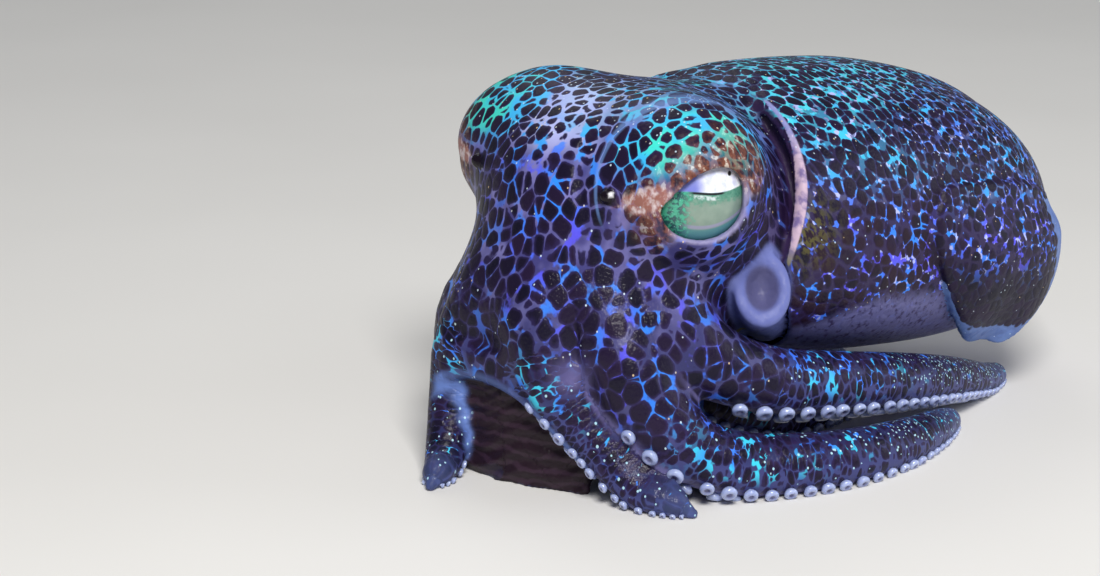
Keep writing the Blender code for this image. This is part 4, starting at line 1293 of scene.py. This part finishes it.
def net_skin(skin, body, on_arm, height):
    """Dark cells in a net whose width varies, with the depth into the cells and the share of net."""
    mantle, fin = skin.read("mantle"), skin.read("fin")
    body_depth, number = cell_net(skin, body, BODY_CELLS)
    arm_depth, _ = cell_net(skin, skin.read("arm_pattern"), ARM_CELLS)
    depth = skin.blend(skin.ease(on_arm, 0.35, 0.65), body_depth, arm_depth)
    width = skin.noise(body, 0.16, 1.0) * 0.28 - 0.03 + skin.read("dome") * 0.02
    width = width + (mantle * 0.5 + 0.5) * skin.patches(body, 1.1, 0.44, 0.62, 2.0, -0.08, 0.08)
    width = width + on_arm * (skin.read("arm_top") * -0.06 + 0.07)
    # Thinner net low down, partly painted shade.
    width = width + skin.ease(height, *NET_LOW_Z) * -0.05
    net = skin.ease(depth, width - NET_SOFT, width + NET_SOFT, 1.0, 0.0)
    cell = skin.mix(number, *CELL)
    red = skin.read("ruddy") * skin.patches(body, 0.3, 0.35, 0.6)
    cell = skin.mix(red * 0.7, cell, RUDDY_CELL)
    edge = skin.ease(depth, width, width + 0.25, 0.28, 0.0) * (fin * -0.8 + 1.0)
    cell = skin.mix(edge, cell, CELL_EDGE)
    dull, bright, lit = net_colours(skin, body, on_arm, height)
    return skin.mix(net, cell, skin.mix(lit, dull, bright)), depth, net


def body_markings(skin, colour, body, on_arm, height, depth):
    """Belly, seams, inner sides, web, fin margins, funnel, painted shade in the groove, and rim over the net.
    """
    def over(name, paint_colour, share=1.0):
        weight = skin.read(name)
        return skin.mix(weight if share == 1.0 else weight * share, colour, paint_colour)

    colour = over("seam", skin.mottle(SEAM, body, 0.8, 3.0))
    colour = over("belly", skin.mix(skin.patches(body, 1.7, 0.5, 0.7, 3.0), *BELLY), 0.92)
    olive = skin.read("olive") * skin.patches(body, 2.4, 0.42, 0.58)
    colour = skin.mix(olive * 0.7, colour, OLIVE)
    colour = over("inner", skin.mottle(INNER, body, 1.2, 3.0))
    ripples = skin.math("SINE", height * CURTAIN_LINES + skin.noise(body, 0.5) * 9.0)
    colour = over("curtain", skin.mix(skin.ease(ripples, 0.0, 0.95), *CURTAIN))
    colour = over("web_edge", WEB_EDGE)
    colour = skin.mix(on_arm * skin.ease(skin.read("arm_share"), 0.82, 1.0, 0.0, 0.4), colour, ARM_TIP)
    ragged = skin.read("margin") + (depth * -0.6 + 0.15)
    colour = skin.mix(skin.ease(ragged, 0.42, 0.58), colour, skin.mottle(FIN_MARGIN, body, 0.9))
    funnel = skin.mottle(FUNNEL, body, 0.5, 3.0)
    colour = over("funnel", skin.mix(skin.read("bore"), funnel, BORE))
    # Painted shade in the groove behind the mantle's rim.
    colour = over("groove", GROOVE_SHADE)
    rim = skin.mix(skin.patches(body, 1.2, 0.35, 0.62, 3.0), *RIM)
    rim = skin.mix(skin.ease(height, 21.5, 24.5), rim, RIM_TOP)
    rim = skin.mix(skin.ease(height, 15.5, 13.5), rim, RIM_LOW)
    return skin.mix(skin.ease(skin.read("rim"), 0.5, 0.9), colour, rim)


def eye_markings(skin, colour, body):
    """The line of the fold round the near eye, lids flecked with rust, the blush, and the dark bead with its
    painted highlight.
    """
    across, up, out = skin.split(skin.read("eye_pattern"))
    off_ring = abs(skin.length(across, up * CREASE_OVAL) - CREASE_RADIUS)
    line = skin.ease(off_ring, 0.03, 0.14, 1.0, 0.0) * skin.ease(across, -4.5, -2.0)
    line = line * skin.ease(out, *CREASE_END) * skin.read("crease")
    colour = skin.mix(line * 0.45, colour, CREASE_LINE)
    speckle = skin.noise(body, 2.0, 4.0)
    rust = skin.mix(skin.ease(speckle, 0.35, 0.55), *RUST)
    rust = skin.mix(skin.ease(speckle, 0.56, 0.66), rust, LID_FLECK)
    pearl = skin.mottle(LOWER_LID, body, 1.6)
    lids = skin.mix(skin.ease(skin.read("lid_up"), 0.1, 0.9), pearl, rust)
    colour = skin.mix(skin.read("lid") * 0.9, colour, lids)
    blush = skin.noise(body, 1.5, 3.0) * 1.6 + skin.read("blush")
    pink = skin.mix(skin.patches(body, 1.8, 0.45, 0.68, 3.0), *BLUSH)
    colour = skin.mix(skin.ease(blush, 2.1, 1.5, 0.0, 0.85), colour, pink)
    colour = skin.mix(skin.read("bead"), colour, BEAD)
    # A painted highlight on the dark bead.
    return skin.mix(skin.read("bead_highlight"), colour, BEAD_HIGHLIGHT), speckle


def add_glints(skin, colour, body, on_arm, height, speckle):
    """Painted glints: scattered pale specks of painted highlight, thicker on the head's top and the outer
    arms.
    """
    off_spot, glint_colour = skin.voronoi(body, GLINT_SCALE)
    chance = skin.math("FRACT", glint_colour * GLINT_NUMBER_STEP)
    crowned = skin.ease(height, 20.0, 23.5) * (skin.read("mantle") * -0.2 + 0.22)
    crowded = skin.most(crowned, skin.read("glints") * 0.5)
    seldom = skin.math("GREATER_THAN", chance, 0.955 - crowded)
    off_spot = off_spot + on_arm * -0.28 + on_arm * speckle * 0.44
    bare = skin.most(skin.read("curtain"), skin.read("funnel"), skin.read("belly"))
    spot = seldom * skin.ease(off_spot, 0.18, 0.27, 1.0, 0.0) * (1.0 - bare)
    glint_speck = skin.mix(skin.patches(body, 1.3, 0.5, 0.62, 1.0), *GLINT_SPECK)
    # Pale specks painted in as glints of highlight.
    return skin.mix(spot * 0.75, colour, skin.mix(on_arm, glint_speck, ARM_GLINT_SPECK))


def skin_material():
    """Wet skin: the net, the markings over it, the glints, and a fine relief under a glossy film."""
    skin = Shader("squid_skin")
    body = skin.read("body_pattern")
    _, _, height = skin.split(body)
    on_arm = skin.read("arm") * skin.ease(skin.read("arm_share"), *ARM_NET_SHARE)
    colour, depth, net = net_skin(skin, body, on_arm, height)
    colour = body_markings(skin, colour, body, on_arm, height, depth)
    colour, speckle = eye_markings(skin, colour, body)
    colour = add_glints(skin, colour, body, on_arm, height, speckle)
    relief = skin.noise(body, 3.5, 3.0) * 0.5 + skin.ease(depth, 0.0, 0.5) * 0.6
    bump = skin.bump(0.6, RELIEF_HEIGHT, relief)
    film = skin.bump(0.8, FILM_HEIGHT, skin.noise(body, 5.0), Normal=bump)
    roughness = skin.blend(skin.read("bead"), net * -0.1 + 0.55, 0.08)
    return skin.finish(Base_Color=colour, Roughness=roughness, Normal=bump, Coat_Normal=film,
                       Specular_IOR_Level=0.12, Coat_Weight=0.25, Coat_Roughness=0.1)


def sucker_material():
    """Pale blue pearl, darker in the cup."""
    shader = Shader("sucker_pearl")
    cup = shader.read("cup")
    pearl = shader.mottle(SUCKER_PEARL, shader.read("place"), 1.3)
    return shader.finish(
        Base_Color=shader.mix(cup, pearl, SUCKER_CUP), Roughness=cup * 0.2 + 0.25,
        Subsurface_Weight=0.2, Subsurface_Radius=(0.4, 0.4, 0.8), Subsurface_Scale=LIGHT_DEPTH,
        Coat_Weight=1.0, Coat_Roughness=0.06)


def eye_material():
    """Pearly green iris with a thin dark slit under a silver band, painted brighter as a highlight, below a
    clear wet cornea.
    """
    shader = Shader("squid_eye")
    place = shader.read("place")
    across, up, _ = shader.split(place)
    speckle, fine = shader.noise(place, 3.2, 4.0), shader.noise(place, 6.0)
    colour = shader.mottle(IRIS, place, 1.1)
    colour = shader.mix(shader.ease(speckle * 1.2 + up, 0.75, 1.35), colour, shader.mix(fine, *IRIS_GREEN))
    below = across * across * 0.1 - 1.4 - up
    colour = shader.mix(shader.ease(below, 0.05, 0.3), colour, IRIS_LOW)
    colour = shader.mix(shader.ease(abs(below), 0.06, 0.2, 0.8, 0.0), colour, IRIS_ARC)
    teal = shader.mix(shader.ease(speckle, 0.42, 0.58), *IRIS_TEAL)
    teal = shader.mix(shader.ease(fine, 0.62, 0.78), teal, IRIS_FLECK)
    colour = shader.mix(shader.ease(speckle * 2.2 + across, 1.8, 2.7), colour, teal)

    bend = shader.math("SINE", across * 1.3) * 0.08
    over = up - (bend + SLIT_HEIGHT)
    # The band over the slit: the iris's own silver, partly a painted highlight.
    silver_and_highlight = shader.mix(shader.patches(place, 1.4, 0.4, 0.65, 3.0), *SILVER_AND_HIGHLIGHT)
    band = shader.mix(shader.ease(across, -0.4, 0.7), silver_and_highlight, BAND_BLUE)
    colour = shader.mix(shader.ease(over, 0.02, 0.14), colour, band)
    streak = shader.ease(abs(over + 0.28), 0.1, 0.22, 1.0, 0.0) * shader.ease(abs(across), 0.7, 1.3, 1.0, 0.0)
    streak = streak * shader.patches(place, 3.0, 0.35, 0.65, 2.0, 0.0, 0.8)
    colour = shader.mix(streak, colour, STREAK)
    slit = shader.ease(abs(over), 0.05, 0.1, 1.0, 0.0) * shader.ease(abs(across + 0.3), 1.0, 1.4, 1.0, 0.0)
    hook = shader.ease(shader.length(across, up, SLIT_HOOK), 0.12, 0.19, 1.0, 0.0)
    colour = shader.mix(shader.most(slit, hook), colour, SLIT)
    return shader.finish(
        Base_Color=colour, Roughness=shader.ease(speckle, 0.3, 0.7, 0.3, 0.5),
        Subsurface_Weight=0.15, Subsurface_Radius=(0.4, 0.6, 0.5), Subsurface_Scale=LIGHT_DEPTH,
        Coat_Weight=0.6, Coat_Roughness=0.05)


def floor_material():
    shader = Shader("pale_floor")
    place, = shader.add("TexCoord", ["Object"])
    return shader.finish(Base_Color=shader.mottle(FLOOR, place, 25.0), Roughness=0.75)


# Pieces


def dress_skin():
    points, quads = make_skin()
    skin = mesh_object("skin", points, quads)
    paint(skin, **zones(points))
    skin.data.materials.append(skin_material())
    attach(skin, "root")
    flesh = [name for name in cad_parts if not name.startswith("eye")]
    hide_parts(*flesh)


def ring_quads(rings, sides):
    """Quads between rings of equally many points, from each ring to the next."""
    ring, i = np.divmod(np.arange((rings - 1) * sides), sides)
    j = (i + 1) % sides
    a, b = ring * sides, (ring + 1) * sides
    return np.column_stack([a + i, a + j, b + j, b + i])


def sucker(centre, outward, size):
    """Vertices of one lathed sucker, ring by ring."""
    turn = np.array(Vector((0, 0, 1)).rotation_difference(Vector(outward)).to_matrix())
    angles = np.arange(SUCKER_SIDES) * 2 * math.pi / SUCKER_SIDES
    rings = [np.column_stack([r * np.cos(angles), r * np.sin(angles), np.full(SUCKER_SIDES, h)])
             for r, h in SUCKER_PROFILE]
    return centre + np.vstack(rings) * size @ turn.T


def make_suckers():
    """Rows of cups on the inner side of each arm, smaller towards the tip."""
    draw = np.random.default_rng(SEED)
    finish = sucker_material()
    one = ring_quads(len(SUCKER_PROFILE), SUCKER_SIDES)
    cup = np.repeat(SUCKER_CUP_DEPTH, SUCKER_SIDES)
    for name in ARM_PATHS:
        arm = make_arm(name, SUCKER_PATH_STEP)
        made = []
        for degrees, stagger in SUCKER_ROWS:
            turn = math.radians(degrees)
            place = arm.along[-1] * SUCKER_START_SHARE
            place += stagger * SUCKER_PITCH * SUCKER_SHARE * arm.radii[0]
            while place < arm.along[-1] - SUCKER_END_GAP:
                i = int(np.searchsorted(arm.along, place))
                size = max(SUCKER_SHARE * arm.radii[i], SUCKER_LEAST) * draw.uniform(*SUCKER_VARIATION)
                outward = math.cos(turn) * arm.front[i] + math.sin(turn) * arm.side[i]
                reach = arm.radii[i] * (1 - ARM_FLAT * math.cos(turn) ** 2)
                centre = arm.line[i] + outward * (reach + 0.05 * size)
                if centre[2] > SUCKER_LOWEST * size:
                    made.append(sucker(centre, outward, size))
                place += SUCKER_PITCH * size
        points = np.vstack(made)
        points[:, 2] = np.maximum(points[:, 2], 0)
        quads = np.vstack([one + i * len(cup) for i in range(len(made))])
        piece = mesh_object(name.replace("arm", "suckers"), points, quads)
        paint(piece, place=points, cup=np.tile(cup, len(made)))
        piece.data.materials.append(finish)
        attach(piece, "root")


def make_eyes():
    """Fine eyeballs in place of the solids' coarse ones."""
    finish = eye_material()
    tilt = np.linspace(EYE_POLE, math.pi - EYE_POLE, EYE_RINGS)
    turn = np.arange(EYE_SIDES) * 2 * math.pi / EYE_SIDES
    waves = (np.sin(tilt), np.cos(turn)), (np.sin(tilt), np.sin(turn)), (np.cos(tilt), np.ones(EYE_SIDES))
    local = np.column_stack([np.outer(*wave).ravel() * EYE_RADIUS for wave in waves])
    quads = ring_quads(EYE_RINGS, EYE_SIDES)
    for word, side in SIDES.items():
        points = eye_centre(side) + local @ np.array(eye_frame(side))
        eye = mesh_object("eyeball_" + word, points, quads if side < 0 else quads[:, ::-1])
        paint(eye, place=local)
        eye.data.materials.append(finish)
        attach(eye, "root")
        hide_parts("eye_" + word)


def place_object(name, data, place):
    made = bpy.data.objects.new(name, data)
    made.location = place
    bpy.context.scene.collection.objects.link(made)
    return made


def aim(thing, direction):
    """Turns a camera or lamp to look along a direction."""
    thing.rotation_mode = "QUATERNION"
    thing.rotation_quaternion = direction.to_track_quat("-Z", "Y")


def make_stage():
    mesh = bpy.data.meshes.new("floor")
    corners = [(FLOOR_SIZE * x, FLOOR_SIZE * y, 0) for x, y in ((-1, -1), (1, -1), (1, 1), (-1, 1))]
    mesh.from_pydata(corners, [], [(0, 1, 2, 3)])
    mesh.materials.append(floor_material())
    place_object("floor", mesh, (0, 0, -FLOOR_GAP))


def lamp(name, place, size, power, colour=(1.0, 1.0, 1.0)):
    """A soft square light that looks at the animal."""
    light = bpy.data.lights.new(name, "AREA")
    light.size = size
    light.energy = power
    light.color = colour
    aim(place_object(name, light, place), Vector(LIT_PLACE) - Vector(place))


def make_lights():
    lamp("key", (-0.14, -0.20, 0.27), 0.12, 1.3, (1.0, 0.98, 0.95))
    lamp("fill", (0.28, -0.22, 0.14), 0.22, 0.35, (0.90, 0.95, 1.0))
    lamp("back", (0.10, 0.26, 0.30), 0.20, 0.2)
    world = bpy.data.worlds.new("studio")
    world.use_nodes = True
    sky = world.node_tree.nodes["Background"].inputs
    sky["Color"].default_value = STUDIO_LIGHT
    sky["Strength"].default_value = STUDIO_STRENGTH
    bpy.context.scene.world = world
    bpy.context.scene.view_settings.view_transform = "Standard"


def make_camera():
    camera = bpy.data.cameras.new("photo_view")
    camera.sensor_width = SENSOR
    camera.lens = SENSOR * FOCAL_PIXELS / PHOTO_SIZE[0]
    camera.clip_start = CAMERA_CLIP
    made = place_object("photo_view", camera, to_row(CAMERA_PLACE))
    flat = math.cos(CAMERA_ELEVATION)
    aim(made, Vector((-math.sin(CAMERA_AZIMUTH) * flat, math.cos(CAMERA_AZIMUTH) * flat,
                      -math.sin(CAMERA_ELEVATION))))
    bpy.context.scene.camera = made


make_camera()
make_stage()
make_lights()
dress_skin()
make_eyes()
make_suckers()
